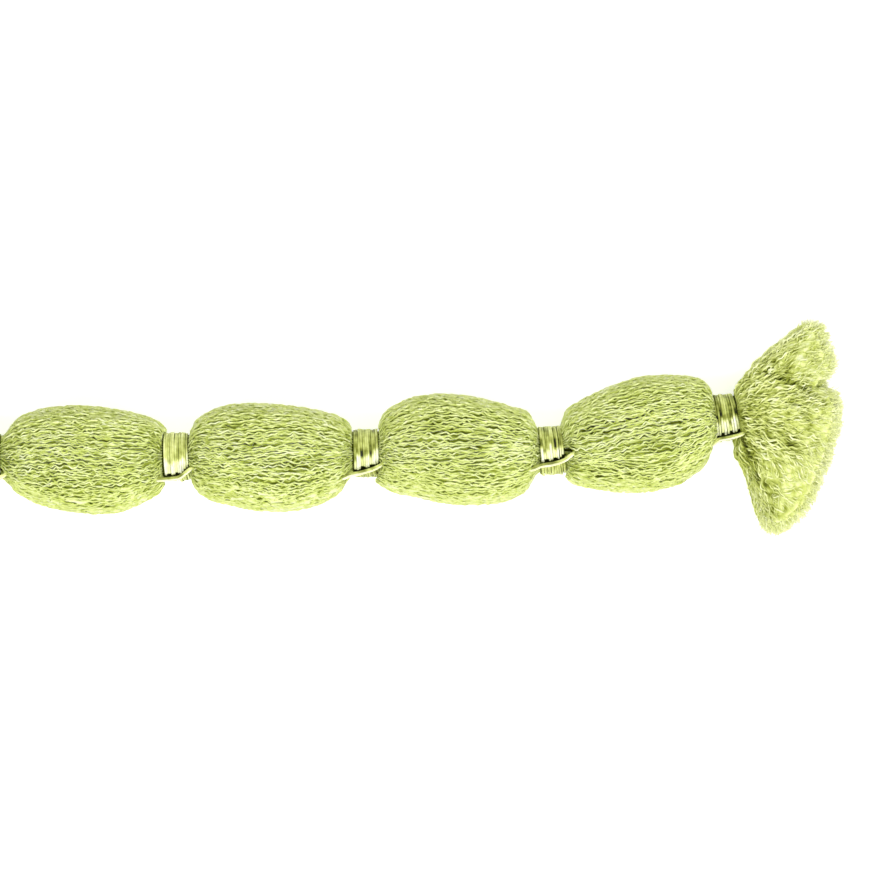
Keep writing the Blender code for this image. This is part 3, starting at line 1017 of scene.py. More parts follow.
def tuft_yarns(tuft, name, layers, steps, sides, thin, seed):
    """Single crimped plies from under the binding out to their cut ends. layers
    lists (how many, lift, fullness low, fullness high), and where across the fan
    they all lie if they aren't spread."""
    rng = np.random.default_rng(seed)
    share, lift, full, cover = [], [], [], []
    for many, way, low, high, *beside in layers:
        cover.append(np.full(many, 0.0 if beside else 1.0))
        if beside:
            share.append(beside[0] + rng.uniform(-0.012, 0.012, many))
            lift.append(np.full(many, way))
            full.append(low + (high - low) * (np.arange(many) + 0.5) / many)
            continue
        s = (np.arange(many) + rng.uniform(0.1, 0.9, many)) / many * 2 - 1
        # They lie closer together down the fan's two steep sides.
        s = 0.5 * s + 0.5 * np.sin(s * math.pi / 2)
        share.append(np.clip(s, -0.985, 0.985))
        lift.append(np.full(many, way))
        full.append(rng.uniform(low, high, many))
    share, lift, full, cover = map(np.concatenate, (share, lift, full, cover))
    count = len(share)

    ends = np.where(cover > 0, rng.uniform(0.56, 1.0, count), rng.uniform(0.80, 1.0, count)) ** 0.9
    t = np.linspace(0.0, 1.0, steps)[None, :]
    # From inside the binding, past its edge, and out along the fan.
    stop = np.maximum(t - 0.07, 0.0) / 0.93 * ends[:, None]
    reel = np.broadcast_to(t * 16, (count, steps))
    flow = swirl(rng, ((1.5, 5.0), (0.15, 0.6)), 0.018)
    wander = (
        flow(share[:, None] * 3.0, reel)
        + 0.020 * drift(rng, count, reel, 5.0)
        + 0.009 * drift(rng, count, reel, 2.0)
    ) * ease(t, 0.05, 0.5) * (0.40 + 0.60 * cover)[:, None]
    across = np.clip(share[:, None] + wander, -0.995, 0.995)
    path, shade = tuft.point(stop, across, lift[:, None], full[:, None], give_crease=True)
    # Inside the binding the yarns run straight along its axis.
    up = np.array([0.0, 0.0, 1.0])
    turn = np.where(lift > 0, np.arccos(share), -np.arccos(share))
    neck_r = 2.55 * (0.35 + 0.65 * full)
    ring = tuft.far * np.cos(turn)[:, None] + up * np.sin(turn)[:, None]
    neck = (
        tuft.centre
        + tuft.ahead * (tuft.root_along - 1.1)
        + ring * neck_r[:, None]
    )
    mouth = (
        tuft.centre
        + tuft.ahead * (tuft.root_along + 0.05)
        + ring * (neck_r * 1.10)[:, None]
    )
    w1 = ease(t, 0.0, 0.05)[..., None]
    w2 = ease(t, 0.035, 0.13)[..., None]
    inside = neck[:, None] * (1 - w1) + mouth[:, None] * w1
    path = inside * (1 - w2) + path * w2

    normal = tuft.normal(np.clip(stop, 0.02, 1.0), np.clip(across, -0.97, 0.97), lift[:, None])
    _, out, side = frames_along(path, normal)
    length = np.cumsum(np.linalg.norm(np.diff(path, axis=1, prepend=path[:, :1]), axis=-1), axis=1)

    open_ = ease(t, 0.05, 0.17)
    crimp = 0.030 + 0.125 * open_
    weave = 0.050 + 0.135 * open_
    sink = 0.24 - weave * drift(rng, count, length, 0.46) - 0.08 * open_ * drift(rng, count, length, 1.4)
    sink = sink * (0.35 + 0.65 * cover)[:, None]
    path = path - out * sink[..., None]
    path = path + side * (crimp * drift(rng, count, length, 0.44))[..., None]
    path = path + side * (0.13 * open_ * drift(rng, count, length, 1.3))[..., None]

    squeeze = 0.80 + 0.20 * ease(t, 0.05, 0.30)
    size = thin * squeeze * (1 + 0.10 * drift(rng, count, length, 1.0))
    size = size * (1 - 0.35 * ease(t, 0.55, 1.0)) * (1 - 0.5 * ease(t, 0.93, 1.0))
    around = TAU * np.arange(sides) / sides
    # The colour is painted darker with depth, as shade: by how deep each point lies, deeper in the fan's body,
    # along the creases and in the patches, and darker near the root.
    deep = sink[..., None] - np.cos(around)[None, None] * size[..., None]
    deep = deep + (cover * (1 - full) + 0.10 * (1 - cover))[:, None, None] * 0.8 + shade[..., None]
    deep = deep + 0.10 * (1 - ease(stop, 0.0, 0.40))[..., None]
    loose = ease(stop, 0.20, 0.95)
    points, faces, uvs, values = tubes(
        path,
        out,
        side,
        size,
        sides,
        {"tone": rng.normal(0, 1, count), "deep": deep, "loose": loose},
    )
    keep_off_floor(points)
    return build_mesh(name, points, faces, uvs, values)


def tuft_fluff(tuft, name, count, steps, seed, share_top=0.66):
    """Fine crimped fibres that come loose from the yarn ends and fill the fan."""
    rng = np.random.default_rng(seed)
    lift = np.where(rng.random(count) < share_top, 1.0, -1.0)
    share = rng.uniform(-1, 1, count)
    edge = rng.random(count) < 0.22
    share = np.where(edge, np.sign(share) * (1 - 0.08 * rng.random(count)), share)
    start = 1.0 - np.abs(rng.normal(0, 0.26, count))
    start = np.where(edge, rng.uniform(0.25, 0.95, count), start)
    start = np.clip(start, 0.18, 0.97)
    full = np.clip(1.0 - np.abs(rng.normal(0, 0.06, count)), 0.5, 1.0)
    tip = rng.random(count) < 0.42
    full = np.where(tip, rng.uniform(0.05, 1.0, count), full)
    start = np.where(tip, rng.uniform(0.84, 0.98, count), start)
    held = np.clip(share, -0.99, 0.99)
    root, shade = tuft.point(start, held, lift, full, give_crease=True)
    further = tuft.point(start + 0.04, held, lift, full)
    along = unit(further - root)
    normal = tuft.normal(np.clip(start, 0.05, 1), np.clip(share, -0.95, 0.95), lift)
    side = unit(np.cross(along, normal))
    way = unit(
        along
        + side * rng.normal(0, 0.42, count)[:, None]
        + normal * rng.normal(-0.04, 0.12, count)[:, None]
    )
    long_ = rng.uniform(1.3, 3.0, count) * (1 - 0.45 * tip) * (1 - 0.45 * edge)
    # They end close to the fan's own outline.
    reach_here = table_curve(share, tuft.table[:, 0], tuft.table[:, 2])
    long_ = np.minimum(long_, np.maximum((1.0 - start) * reach_here + 0.15, 0.6))
    t = np.linspace(0, 1, steps)[None]
    length = t * long_[:, None]
    path = (root - normal * 0.06)[:, None] + way[:, None] * length[..., None]
    curl = (
        side[:, None] * (0.20 * drift(rng, count, length, 0.50))[..., None]
        + normal[:, None] * (0.10 * drift(rng, count, length, 0.50))[..., None]
        + along[:, None] * (0.05 * drift(rng, count, length, 0.55))[..., None]
    )
    path = path + curl * (0.35 + 0.65 * t)[..., None]
    droop = np.stack([np.zeros_like(length), np.zeros_like(length), -0.05 * length**2], axis=-1)
    path = path + droop
    _, out, across = frames_along(path, np.broadcast_to(normal[:, None], path.shape))
    radius = rng.uniform(0.040, 0.072, count)[:, None] * (1 - 0.60 * t**3)
    radius = radius * np.where(tip, 0.72, 1.0)[:, None]
    # The fibres carry the painted shade of the creases and patches where they start.
    points, faces, uvs, values = tubes(
        path,
        out,
        across,
        radius,
        3,
        {
            "tone": rng.normal(0, 1, count),
            "deep": np.broadcast_to(0.08 + shade[:, None], (count, steps)),
            "loose": np.broadcast_to(np.clip(start[:, None] + 0.15 * t, 0, 1), (count, steps)),
        },
    )
    keep_off_floor(points, 0.01, 0.03)
    return build_mesh(name, points, faces, uvs, values)


def tuft_halo(tuft, name, count, steps, seed):
    """The finest fibre ends, thinly spread past the fan's dense outline."""
    rng = np.random.default_rng(seed)
    share = rng.uniform(-1, 1, count)
    edge = rng.random(count) < 0.20
    share = np.where(edge, np.sign(share) * (1 - 0.03 * rng.random(count)), share)
    held = np.clip(share, -0.995, 0.995)
    start = np.where(edge, rng.uniform(0.30, 0.95, count), rng.uniform(0.88, 0.97, count))
    lift = np.where(rng.random(count) < 0.6, 1.0, -1.0)
    full = np.where(edge, 0.97, rng.uniform(0.1, 0.98, count))
    root = tuft.point(start, held, lift, full)
    along = unit(tuft.point(start + 0.04, held, lift, full) - root)
    normal = tuft.normal(np.clip(start, 0.05, 1), np.clip(share, -0.95, 0.95), lift)
    side = unit(np.cross(along, normal))
    outward = np.sign(share) * np.sign(np.sum(side * tuft.far, axis=-1))
    lean = rng.normal(0, 0.5, count)
    lean = np.where(edge, np.abs(lean) * outward * 0.8, lean)
    way = unit(along + side * lean[:, None] + normal * rng.normal(0.0, 0.10, count)[:, None])
    reach_here = table_curve(share, tuft.table[:, 0], tuft.table[:, 2])
    past = np.abs(rng.normal(0, 0.42, count))
    long_ = np.where(edge, 0.4 + past * 1.1, (1.0 - start) * reach_here * 0.9 + past + 0.25)
    t = np.linspace(0, 1, steps)[None]
    length = t * long_[:, None]
    path = root[:, None] + way[:, None] * length[..., None]
    path = path + side[:, None] * (0.13 * t * drift(rng, count, length, 0.45))[..., None]
    path = path + normal[:, None] * (0.08 * t * drift(rng, count, length, 0.45))[..., None]
    _, out, across = frames_along(path, np.broadcast_to(normal[:, None], path.shape))
    radius = rng.uniform(0.018, 0.028, count)[:, None] * (1 - 0.45 * t)
    points, faces, uvs, values = tubes(
        path,
        out,
        across,
        radius,
        3,
        {
            "tone": rng.normal(0.8, 1, count),
            "deep": np.zeros((count, steps)),
            "loose": np.ones((count, steps)),
        },
    )
    keep_off_floor(points, 0.01, 0.03)
    return build_mesh(name, points, faces, uvs, values)


def tuft_ends(tuft, name, count, steps, seed):
    """The short cut ends of the yarns further in, all over the fan's outer end."""
    rng = np.random.default_rng(seed)
    share = np.clip(rng.uniform(-1, 1, count) * 1.02, -0.975, 0.975)
    lift = np.where(rng.random(count) < 0.6, 1.0, -1.0)
    full = rng.uniform(0.0, 0.99, count)
    full = np.where(rng.random(count) < 0.14, full * 0.12, full)
    start = 0.845 + 0.06 * np.sqrt(1 - full**2)
    root = tuft.point(start, share, lift, full)
    along = tuft.point(start + 0.05, share, lift, full * 0.97) - root
    along[..., 2] *= 0.5
    along = unit(along)
    up = np.broadcast_to(np.array([0.0, 0.0, 1.0]), along.shape)
    side = unit(np.cross(along, up))
    way = unit(
        along
        + side * rng.normal(0, 0.30, count)[:, None]
        + up * rng.normal(-0.04, 0.26, count)[:, None]
    )
    long_ = rng.uniform(0.9, 1.9, count)
    t = np.linspace(0, 1, steps)[None]
    length = t * long_[:, None]
    path = root[:, None] + way[:, None] * length[..., None]
    path = path + side[:, None] * (0.11 * drift(rng, count, length, 0.45))[..., None]
    path = path + up[:, None] * (0.11 * drift(rng, count, length, 0.45))[..., None]
    _, out, across = frames_along(path, np.broadcast_to(up[:, None], path.shape))
    radius = rng.uniform(0.075, 0.115, count)[:, None] * (1 - 0.45 * t**2)
    # They are painted darker at their roots, as shade in among the other yarns, and paler towards their tips.
    points, faces, uvs, values = tubes(
        path,
        out,
        across,
        radius,
        3,
        {
            "tone": rng.normal(0, 1, count),
            "deep": np.broadcast_to(0.26 * (1 - t) ** 1.2 - 0.16, (count, steps)),
            "loose": np.full((count, steps), 0.9),
        },
    )
    keep_off_floor(points, 0.01, 0.03)
    return build_mesh(name, points, faces, uvs, values)


def tuft_body(tuft, name, rows, sides, seed):
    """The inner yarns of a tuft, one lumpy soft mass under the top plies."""
    rng = np.random.default_rng(seed)
    round_off = np.linspace(0.0, 0.999, 15)[1:] * math.pi / 2
    stops = np.concatenate(
        [np.linspace(0.0, 0.86, rows - 14), 0.86 + 0.07 * np.sin(round_off)]
    )
    turn = TAU * np.arange(sides) / sides
    ss, tt = np.meshgrid(stops, turn, indexing="ij")
    share, rise = np.cos(tt) * 0.966, np.sin(tt)
    full = np.full(ss.shape, 0.985)
    full[-14:] *= (np.cos(round_off) ** 0.70)[:, None]
    share[-14:] *= (1 - 0.035 * (1 - np.cos(round_off)))[:, None]
    side_of = np.where(rise >= 0, 1.0, -1.0)
    p, shade = tuft.point(ss, share, side_of, full, give_crease=True)
    # Its two sides are rounded, not flat walls.
    waist = tuft.point(ss, share, 1.0, 0.0)[..., 2]
    p[..., 2] = waist + (p[..., 2] - waist) * np.clip(np.abs(rise) / 0.22, 0.0, 1.0) ** 0.8
    n = tuft.normal(np.clip(ss, 0.02, 0.97), np.clip(share, -0.93, 0.93), side_of)
    # Ridges that run out along the fan, with knots along them.
    fine = swirl(rng, ((30.0, 62.0), (30.0, 90.0)), 0.075)
    mid = swirl(rng, ((9.0, 26.0), (14.0, 40.0)), 0.060)
    wide = swirl(rng, ((3.0, 8.0), (2.0, 7.0)), 0.08)
    lump = (fine(tt, ss) + mid(tt, ss)) * ease(ss, 0.0, 0.15) + wide(tt, ss) * ease(ss, 0.25, 0.7)
    inset = 0.30 + np.clip(0.14 - lump, -0.1, 0.6)
    thin = np.abs(rise) ** 0.5
    at_end = ease(ss, 0.82, 0.88)
    p = p - n * (inset * (0.45 + 0.55 * thin) * (1 - at_end))[..., None]
    # The cut end is knobbly.
    bearing = np.radians(table_curve(share, tuft.table[:, 0], tuft.table[:, 1]))
    way = np.stack(
        [tuft.forward * np.cos(bearing), np.sin(bearing), np.zeros_like(bearing)], axis=-1
    )
    knobs = swirl(rng, ((40.0, 85.0), (3.0, 7.0)), 0.13)(share, p[..., 2])
    p = p + way * (at_end * (knobs - 0.15))[..., None]
    p[..., 2] = np.maximum(p[..., 2], 0.30)
    lump = lump * (1 - at_end) + knobs * at_end
    # The colour is painted darker in the hollows between the lumps, as shade, and along the creases and in the
    # patches; a little darker near the root and lighter at the cut end.
    deep = 0.25 - lump * 1.5 + shade + 0.10 * (1 - ease(ss, 0.0, 0.40)) - 0.08 * at_end
    return closed_grid(p, name, deep, ease(ss, 0.20, 0.95), flat_end=True)


# ---------------------------------------------------------------------------
# Loose fuzz on the beads
# ---------------------------------------------------------------------------
def bead_fuzz(bead, number, count):
    rng = np.random.default_rng(5200 + number)
    place = rng.uniform(2.0, bead.length - 2.0, count)
    turn = rng.uniform(-0.35 * math.pi, 1.35 * math.pi, count)
    beside = rng.random(count) < 0.55
    turn = np.where(beside, math.pi * rng.integers(0, 2, count) + rng.uniform(-0.7, 0.7, count), turn)
    root = bead.outer(place, turn)
    normal = bead.normal(place, turn)
    along = unit(bead.outer(place + 0.2, turn) - root)
    side = np.cross(along, normal)
    way = unit(
        along * rng.choice((-1, 1), count)[:, None]
        + side * rng.normal(0, 0.55, count)[:, None]
        + normal * rng.uniform(0.0, 0.22, count)[:, None]
    )
    steps = 8
    t = np.linspace(0, 1, steps)[None]
    length = t * rng.uniform(0.8, 2.0, count)[:, None]
    path = (root - normal * 0.10)[:, None] + way[:, None] * length[..., None]
    path = path + side[:, None] * (0.14 * drift(rng, count, length, 0.8))[..., None]
    path = path + normal[:, None] * (0.08 * drift(rng, count, length, 0.8) - 0.06 * length)[..., None]
    _, out, across = frames_along(path, np.broadcast_to(normal[:, None], path.shape))
    radius = rng.uniform(0.013, 0.021, count)[:, None] * (1 - 0.5 * t)
    points, faces, uvs, values = tubes(
        path,
        out,
        across,
        radius,
        3,
        {
            "tone": rng.normal(0.5, 1, count),
            "deep": np.full((count, steps), 0.0),
            "loose": np.full((count, steps), 0.5),
        },
    )
    keep_off_floor(points, 0.01, 0.03)
    return build_mesh("bead_%d_fuzz" % (number + 1), points, faces, uvs, values)


# ---------------------------------------------------------------------------
# Materials
# ---------------------------------------------------------------------------
def ramp(nodes, stops):
    made = nodes.new("ShaderNodeValToRGB")
    ramp_ = made.color_ramp
    while len(ramp_.elements) < len(stops):
        ramp_.elements.new(0.5)
    for element, (place, colour) in zip(ramp_.elements, stops):
        element.position = place
        element.color = (*colour, 1.0)
    return made


def yarn_material(
    name, bright, middle, dark, roughness, sheen, bump, scale,
    depth=1.0, streaks=0.30, clouds=0.24, ripe=0.0, pale=0.16, own=0.040, base=0.0,
):
    """Yarn: pale on its crests and painted deep green shade in its gaps, darker with depth, with a tone of its
    own for each ply, fibre streaks and a fine fibre relief. ripe is how strongly
    greener patches show, and pale how much lighter the loose ends are."""
    made = bpy.data.materials.new(name)
    made.use_nodes = True
    nodes, links = made.node_tree.nodes, made.node_tree.links
    shader = nodes["Principled BSDF"]
    shader.inputs["Roughness"].default_value = roughness
    shader.inputs["Specular IOR Level"].default_value = 0.08
    shader.inputs["Sheen Weight"].default_value = sheen
    shader.inputs["Sheen Roughness"].default_value = 0.27
    shader.inputs["Sheen Tint"].default_value = (1.0, 1.0, 0.93, 1.0)

    def math_node(kind, *values):
        node = nodes.new("ShaderNodeMath")
        node.operation = kind
        for socket, value in zip(node.inputs, values):
            if isinstance(value, (int, float)):
                socket.default_value = value
            else:
                links.new(value, socket)
        return node.outputs[0]

    def attribute(title):
        node = nodes.new("ShaderNodeAttribute")
        node.attribute_name = title
        return node.outputs["Fac"]

    where = nodes.new("ShaderNodeTexCoord")

    def noise(size, detail):
        node = nodes.new("ShaderNodeTexNoise")
        node.inputs["Scale"].default_value = size
        node.inputs["Detail"].default_value = detail
        node.inputs["Roughness"].default_value = 0.6
        links.new(where.outputs["Object"], node.inputs["Vector"])
        return node.outputs["Fac"]

    # Where on the ramp: depth in the gap, painted as shade, plus the ply's own tone and streaks.
    level = math_node("MULTIPLY_ADD", attribute("deep"), depth, base + 0.15)
    level = math_node("MULTIPLY_ADD", attribute("tone"), -own, level)
    level = math_node("MULTIPLY_ADD", math_node("SUBTRACT", noise(scale, 3.0), 0.5), streaks, level)
    level = math_node("MULTIPLY_ADD", math_node("SUBTRACT", noise(230.0, 2.0), 0.5), clouds, level)
    level = math_node("MULTIPLY_ADD", attribute("loose"), -pale, level)
    if ripe:
        spots = math_node("SUBTRACT", noise(330.0, 1.0), 0.56)
        spots = math_node("MAXIMUM", spots, 0.0)
        level = math_node("MULTIPLY_ADD", spots, ripe, level)
    palest = tuple(c + (top - c) * 0.50 for c, top in zip(bright, (0.92, 0.95, 0.70)))
    colours = ramp(
        nodes,
        (
            (0.0, palest),
            (0.15, bright),
            (0.45, middle),
            (0.76, dark),
            (1.0, tuple(c * 0.38 for c in dark)),
        ),
    )
    links.new(level, colours.inputs["Fac"])
    links.new(colours.outputs["Color"], shader.inputs["Base Color"])

    if bump:
        bumped = nodes.new("ShaderNodeBump")
        bumped.inputs["Strength"].default_value = bump
        bumped.inputs["Distance"].default_value = 0.00010
        links.new(noise(scale * 1.6, 2.0), bumped.inputs["Height"])
        links.new(bumped.outputs["Normal"], shader.inputs["Normal"])
    return made


def satin_material(name):
    """Satin thread: bright and glossy, with fine filaments along the thread."""
    made = bpy.data.materials.new(name)
    made.use_nodes = True
    nodes, links = made.node_tree.nodes, made.node_tree.links
    shader = nodes["Principled BSDF"]
    shader.inputs["Roughness"].default_value = 0.46
    shader.inputs["IOR"].default_value = 1.6
    # The filaments lie along the thread, so its shine spreads across it.
    shader.inputs["Anisotropic"].default_value = 0.40
    shader.inputs["Anisotropic Rotation"].default_value = 0.25
    tangent = nodes.new("ShaderNodeTangent")
    tangent.direction_type = "UV_MAP"
    tangent.uv_map = "OFBake"
    links.new(tangent.outputs["Tangent"], shader.inputs["Tangent"])
    tone = nodes.new("ShaderNodeAttribute")
    tone.attribute_name = "tone"
    deep = nodes.new("ShaderNodeAttribute")
    deep.attribute_name = "deep"
    where = nodes.new("ShaderNodeTexCoord")
    streak = nodes.new("ShaderNodeTexNoise")
    streak.inputs["Scale"].default_value = 1400.0
    streak.inputs["Detail"].default_value = 2.0
    links.new(where.outputs["Object"], streak.inputs["Vector"])
    mixed = nodes.new("ShaderNodeMath")
    mixed.operation = "MULTIPLY_ADD"
    mixed.inputs[1].default_value = 0.085
    links.new(tone.outputs["Fac"], mixed.inputs[0])
    fine = nodes.new("ShaderNodeMath")
    fine.operation = "MULTIPLY_ADD"
    fine.inputs[1].default_value = 0.45
    fine.inputs[2].default_value = 0.39 - 0.225
    links.new(streak.outputs["Fac"], fine.inputs[0])
    links.new(fine.outputs[0], mixed.inputs[2])
    # The gloss is strongest in the painted highlight zone over the near shoulder and on the near ply of each
    # float, and least in the painted shade beside the float.
    highlight_gloss = nodes.new("ShaderNodeAttribute")
    highlight_gloss.attribute_name = "loose"
    shine = nodes.new("ShaderNodeMath")
    shine.operation = "MULTIPLY_ADD"
    shine.use_clamp = True
    shine.inputs[1].default_value = 0.85
    shine.inputs[2].default_value = 0.15
    links.new(highlight_gloss.outputs["Fac"], shine.inputs[0])
    links.new(shine.outputs[0], shader.inputs["Specular IOR Level"])
    # Painted shade and highlight: darker with the deep attribute, then a ramp from painted black shade, through
    # the thread's own olive, to a painted near-white highlight.
    sunk = nodes.new("ShaderNodeMath")
    sunk.operation = "MULTIPLY_ADD"
    sunk.inputs[1].default_value = -0.16
    links.new(deep.outputs["Fac"], sunk.inputs[0])
    links.new(mixed.outputs[0], sunk.inputs[2])
    colours = ramp(
        nodes,
        (
            (0.0, (0.012, 0.015, 0.002)),
            (0.14, (0.22, 0.250, 0.030)),
            (0.34, (0.52, 0.570, 0.150)),
            (0.55, (0.74, 0.785, 0.290)),
            (0.75, (0.90, 0.930, 0.520)),
            (0.95, (0.98, 0.985, 0.800)),
        ),
    )
    links.new(sunk.outputs[0], colours.inputs["Fac"])
    links.new(colours.outputs["Color"], shader.inputs["Base Color"])
    bumped = nodes.new("ShaderNodeBump")
    bumped.inputs["Strength"].default_value = 0.35
    bumped.inputs["Distance"].default_value = 0.00004
    links.new(streak.outputs["Fac"], bumped.inputs["Height"])
    links.new(bumped.outputs["Normal"], shader.inputs["Normal"])
    return made


# ---------------------------------------------------------------------------
# Camera: straight down on the trim, a long lens, the run's right end in frame.
# ---------------------------------------------------------------------------
MM_PER_PIXEL = 0.135
FRAME_PIXELS = 880
camera_data = bpy.data.cameras.new("camera")
camera_data.sensor_width = 36.0
camera_data.lens = 150.0
half_view = math.atan(camera_data.sensor_width / 2 / camera_data.lens)
distance = (FRAME_PIXELS * MM_PER_PIXEL / 2) / math.tan(half_view)
camera = bpy.data.objects.new("camera", camera_data)
bpy.context.scene.collection.objects.link(camera)
# The frame's centre, from the third tie, which lies at pixel (366, 453).
look = np.array([(440 - 366) * MM_PER_PIXEL, (453 - 440) * MM_PER_PIXEL, 0.0]) + HOME
camera.location = Vector(
    (look[0] * MM, look[1] * MM, (AXIS_HEIGHT + distance) * MM)
)
camera.rotation_euler = (0.0, 0.0, 0.0)
camera_data.clip_start = 0.01
camera_data.clip_end = 20.0
bpy.context.scene.camera = camera

# ---------------------------------------------------------------------------
# The pieces
# ---------------------------------------------------------------------------
yarn = yarn_material(
    "lime_yarn",
    (0.790, 0.860, 0.350),
    (0.570, 0.655, 0.155),
    (0.28, 0.345, 0.030),
    0.85, 0.42, 0.5, 1900.0,
    depth=1.06, streaks=0.54, own=0.052, base=0.058,
)
# A darker copy of the yarn: painted shade for the yarns inside the bindings.
yarn_inside_shaded = yarn_material(
    "lime_yarn_inside_shaded",
    (0.36, 0.42, 0.08),
    (0.24, 0.285, 0.045),
    (0.105, 0.130, 0.012),
    0.95, 0.0, 0.8, 900.0,
)
# A darker copy of the yarn: painted shade for the yarns further in the beads.
yarn_ground_shaded = yarn_material(
    "lime_yarn_ground_shaded",
    (0.54, 0.62, 0.145),
    (0.40, 0.475, 0.075),
    (0.17, 0.205, 0.016),
    0.95, 0.0, 0.9, 1300.0,
    depth=1.1, streaks=0.6,
)
yarn_cut = yarn_material(
    "lime_yarn_cut",
    (0.825, 0.87, 0.385),
    (0.62, 0.68, 0.200),
    (0.34, 0.39, 0.055),
    0.88, 0.14, 0.5, 1500.0,
    depth=1.20, ripe=2.1, pale=0.20, own=0.055, base=0.160,
)
yarn_mass = yarn_material(
    "lime_yarn_mass",
    (0.765, 0.82, 0.33),
    (0.558, 0.62, 0.160),
    (0.29, 0.34, 0.042),
    0.92, 0.08, 0.9, 1100.0,
    depth=0.95, ripe=2.3, pale=0.24, base=0.135,
)
fluff = yarn_material(
    "lime_fluff",
    (0.90, 0.94, 0.46),
    (0.75, 0.815, 0.28),
    (0.48, 0.545, 0.10),
    0.92, 0.15, 0.0, 900.0,
    ripe=2.1, pale=0.28, own=0.080, base=0.185,
)
satin = satin_material("satin_thread")


def place(obj, coat, slot, *nodes):
    obj.data.materials.append(coat)
    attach(obj, "root")
    if nodes:
        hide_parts(*nodes)
    return obj


for n in range(4):
    bead = Bead(n)
    place(
        bead_layer(n, bead, "bead_%d_plies" % (n + 1), PLIES_ROUND, PLY_POINTS, PLY_RADIUS, 0.02, 4200),
        yarn, "yarn", "yarn_bundle",
    )
    place(
        bead_layer(n, bead, "bead_%d_inner_plies" % (n + 1), INNER_ROUND, INNER_POINTS, INNER_RADIUS, 0.15, 4300),
        yarn, "yarn", "yarn_bundle",
    )
    place(bead_core(bead, n), yarn_ground_shaded, "yarn", "yarn_bundle")
    place(bead_fuzz(bead, n, 130), fluff, "yarn", "yarn_bundle")

for n in range(5):
    place(binding_coil(n), satin, "satin_thread", "binding_%d" % (n + 1))
    place(neck_core(n), yarn_inside_shaded, "yarn", "yarn_bundle")
    place(thread_float(n), satin, "satin_thread", "float_thread_%d" % (n + 1))

# The wide fan: a crease sets off its far lobe, and another its near flap.
CREASE_COLUMNS = (
    "from along", "from across", "to along", "to across", "depth", "width", "shade",
)
RIGHT_CREASES = (
    (5.13, 6.03, 8.10, 4.85, 0.55, 0.32, 0.34),
    (8.10, 4.85, 9.86, 4.05, 0.50, 0.38, 0.34),
    (9.86, 4.05, 12.2, 4.30, 0.45, 0.50, 0.25),
    (12.2, 4.30, 15.0, 4.60, 0.75, 0.60, 0.10),
    (1.89, -2.25, 2.38, -3.65, 0.60, 0.34, 0.60),
    (2.38, -3.65, 2.77, -4.93, 0.55, 0.34, 0.50),
    (2.77, -4.93, 3.95, -8.20, 0.35, 0.50, 0.22),
)
# Patches where the fan's colour is painted darker; depth is how much darker.
PATCH_COLUMNS = ("along", "across", "width", "depth")
RIGHT_PATCHES = (
    (11.50, 9.80, 0.75, 0.34),
    (11.80, 7.20, 0.65, 0.22),
    (11.10, 3.60, 0.80, 0.20),
    (9.10, 2.40, 0.60, 0.18),
    (10.60, 0.80, 0.55, 0.20),
    (3.60, -8.60, 0.90, 0.22),
    (5.60, -10.6, 0.70, 0.22),
    (6.10, -12.4, 0.60, 0.26),
    (9.00, -10.2, 0.60, 0.20),
    (8.60, -4.40, 0.70, 0.16),
)
right = Tuft(4, RIGHT_TUFT, 1, RIGHT_CREASES, RIGHT_PATCHES)
place(tuft_body(right, "right_tuft_body", 118, 184, 814), yarn_mass, "yarn", "yarn_bundle")
place(
    tuft_yarns(right, "right_tuft_top", ((176, 1.0, 0.95, 1.0),), 76, 4, 0.125, 811),
    yarn_cut, "yarn", "yarn_bundle",
)
place(
    tuft_yarns(right, "right_tuft_base", ((84, -1.0, 0.93, 1.0),), 40, 4, 0.155, 812),
    yarn_cut, "yarn", "yarn_bundle",
)
SIDE_LAYERS = tuple(
    (7, lift, 0.03, 1.0, beside) for lift in (1.0, -1.0) for beside in (0.978, -0.978)
)
place(
    tuft_yarns(right, "right_tuft_sides", SIDE_LAYERS, 44, 4, 0.150, 817),
    yarn_cut, "yarn", "yarn_bundle",
)
place(tuft_ends(right, "right_tuft_ends", 1300, 6, 816), fluff, "yarn", "yarn_bundle")
place(tuft_fluff(right, "right_tuft_fluff", 2700, 7, 813), fluff, "yarn", "yarn_bundle")
place(tuft_halo(right, "right_tuft_halo", 1000, 5, 815), fluff, "yarn", "yarn_bundle")

left = Tuft(0, LEFT_TUFT, -1)
place(tuft_body(left, "left_tuft_body", 60, 90, 824), yarn_mass, "yarn", "yarn_bundle")
place(
    tuft_yarns(left, "left_tuft_yarns", ((84, 1.0, 0.95, 1.0), (40, -1.0, 0.93, 1.0)), 40, 4, 0.168, 821),
    yarn_cut, "yarn", "yarn_bundle",
)
place(
    tuft_yarns(left, "left_tuft_sides", SIDE_LAYERS, 34, 4, 0.175, 827),
    yarn_cut, "yarn", "yarn_bundle",
)
place(tuft_ends(left, "left_tuft_ends", 420, 6, 826), fluff, "yarn", "yarn_bundle")
place(tuft_fluff(left, "left_tuft_fluff", 640, 7, 823), fluff, "yarn", "yarn_bundle")
place(tuft_halo(left, "left_tuft_halo", 240, 5, 825), fluff, "yarn", "yarn_bundle")

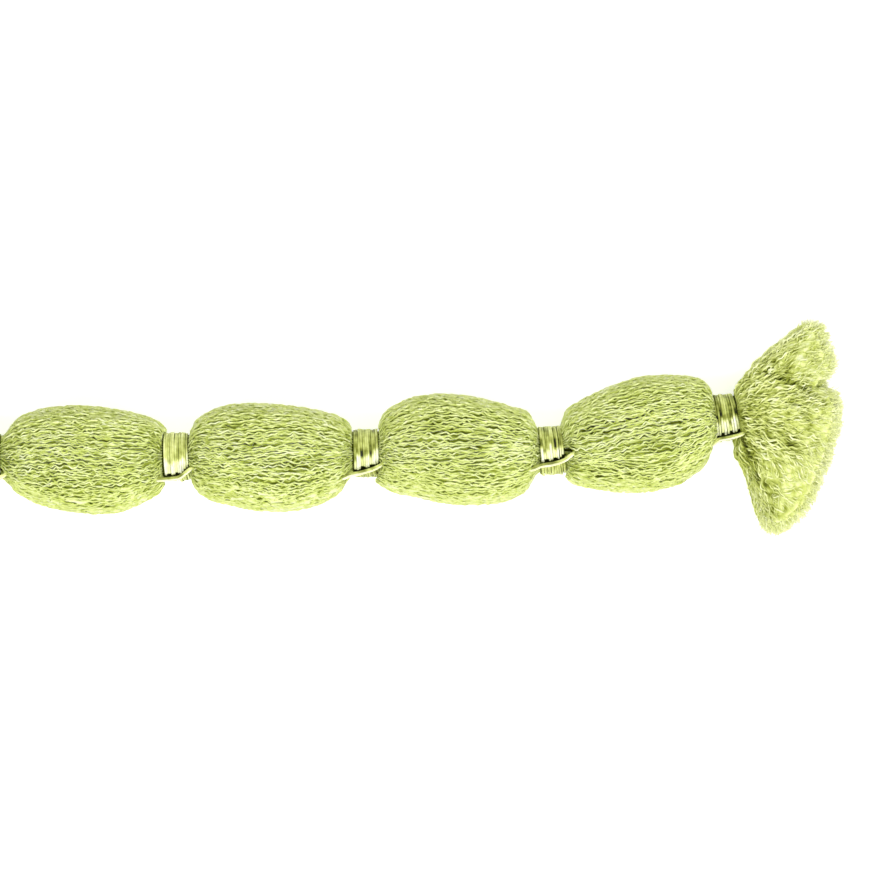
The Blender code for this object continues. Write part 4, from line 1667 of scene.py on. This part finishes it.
# ---------------------------------------------------------------------------
# Floor and light
# ---------------------------------------------------------------------------
floor_mesh = bpy.data.meshes.new("floor")
reach = 4.0
floor_mesh.from_pydata(
    [(-reach, -reach, 0), (reach, -reach, 0), (reach, reach, 0), (-reach, reach, 0)],
    [],
    [(0, 1, 2, 3)],
)
floor = bpy.data.objects.new("floor", floor_mesh)
bpy.context.scene.collection.objects.link(floor)
floor_coat = bpy.data.materials.new("pale_floor")
floor_coat.use_nodes = True
floor_shader = floor_coat.node_tree.nodes["Principled BSDF"]
floor_shader.inputs["Base Color"].default_value = (0.90, 0.90, 0.895, 1.0)
floor_shader.inputs["Roughness"].default_value = 0.9
floor_shader.inputs["Specular IOR Level"].default_value = 0.1
floor_shader.inputs["Emission Color"].default_value = (1.0, 1.0, 1.0, 1.0)
floor_shader.inputs["Emission Strength"].default_value = 0.52
floor_mesh.materials.append(floor_coat)


def area_light(name, where, aim, size, power, colour=(1, 1, 1)):
    data = bpy.data.lights.new(name, "AREA")
    if isinstance(size, tuple):
        data.shape = "RECTANGLE"
        data.size, data.size_y = size
    else:
        data.shape = "DISK"
        data.size = size
    data.energy = power
    data.color = colour
    lamp = bpy.data.objects.new(name, data)
    lamp.location = where
    lamp.rotation_euler = (Vector(aim) - Vector(where)).to_track_quat("-Z", "Y").to_euler()
    bpy.context.scene.collection.objects.link(lamp)
    return lamp


middle = (look[0] * MM, look[1] * MM, 0.0)
area_light(
    "key",
    (middle[0], middle[1] - 0.34, 0.84),
    middle,
    (1.5, 0.17),
    8.7,
    (1.0, 0.995, 0.985),
)
area_light("fill", (middle[0] + 0.54, middle[1] + 0.58, 0.72), middle, 0.8, 3.5, (0.98, 0.99, 1.0))

world = bpy.data.worlds.new("studio")
bpy.context.scene.world = world
world.use_nodes = True
world.node_tree.nodes["Background"].inputs["Color"].default_value = (1.0, 1.0, 1.0, 1.0)
# The studio's walls are bright low down, where they meet the pale floor, and
# dimmer higher up.
sky = world.node_tree.nodes
sky_links = world.node_tree.links
sky_where = sky.new("ShaderNodeTexCoord")
sky_parts = sky.new("ShaderNodeSeparateXYZ")
sky_links.new(sky_where.outputs["Generated"], sky_parts.inputs[0])
sky_range = sky.new("ShaderNodeMapRange")
sky_range.interpolation_type = "SMOOTHSTEP"
sky_range.inputs["From Min"].default_value = 0.17
sky_range.inputs["From Max"].default_value = 0.36
sky_range.inputs["To Min"].default_value = 1.0
sky_range.inputs["To Max"].default_value = 0.44
sky_links.new(sky_parts.outputs["Z"], sky_range.inputs["Value"])
sky_links.new(sky_range.outputs["Result"], sky["Background"].inputs["Strength"])

bpy.context.scene.view_settings.view_transform = "Standard"
bpy.context.scene.view_settings.look = "None"
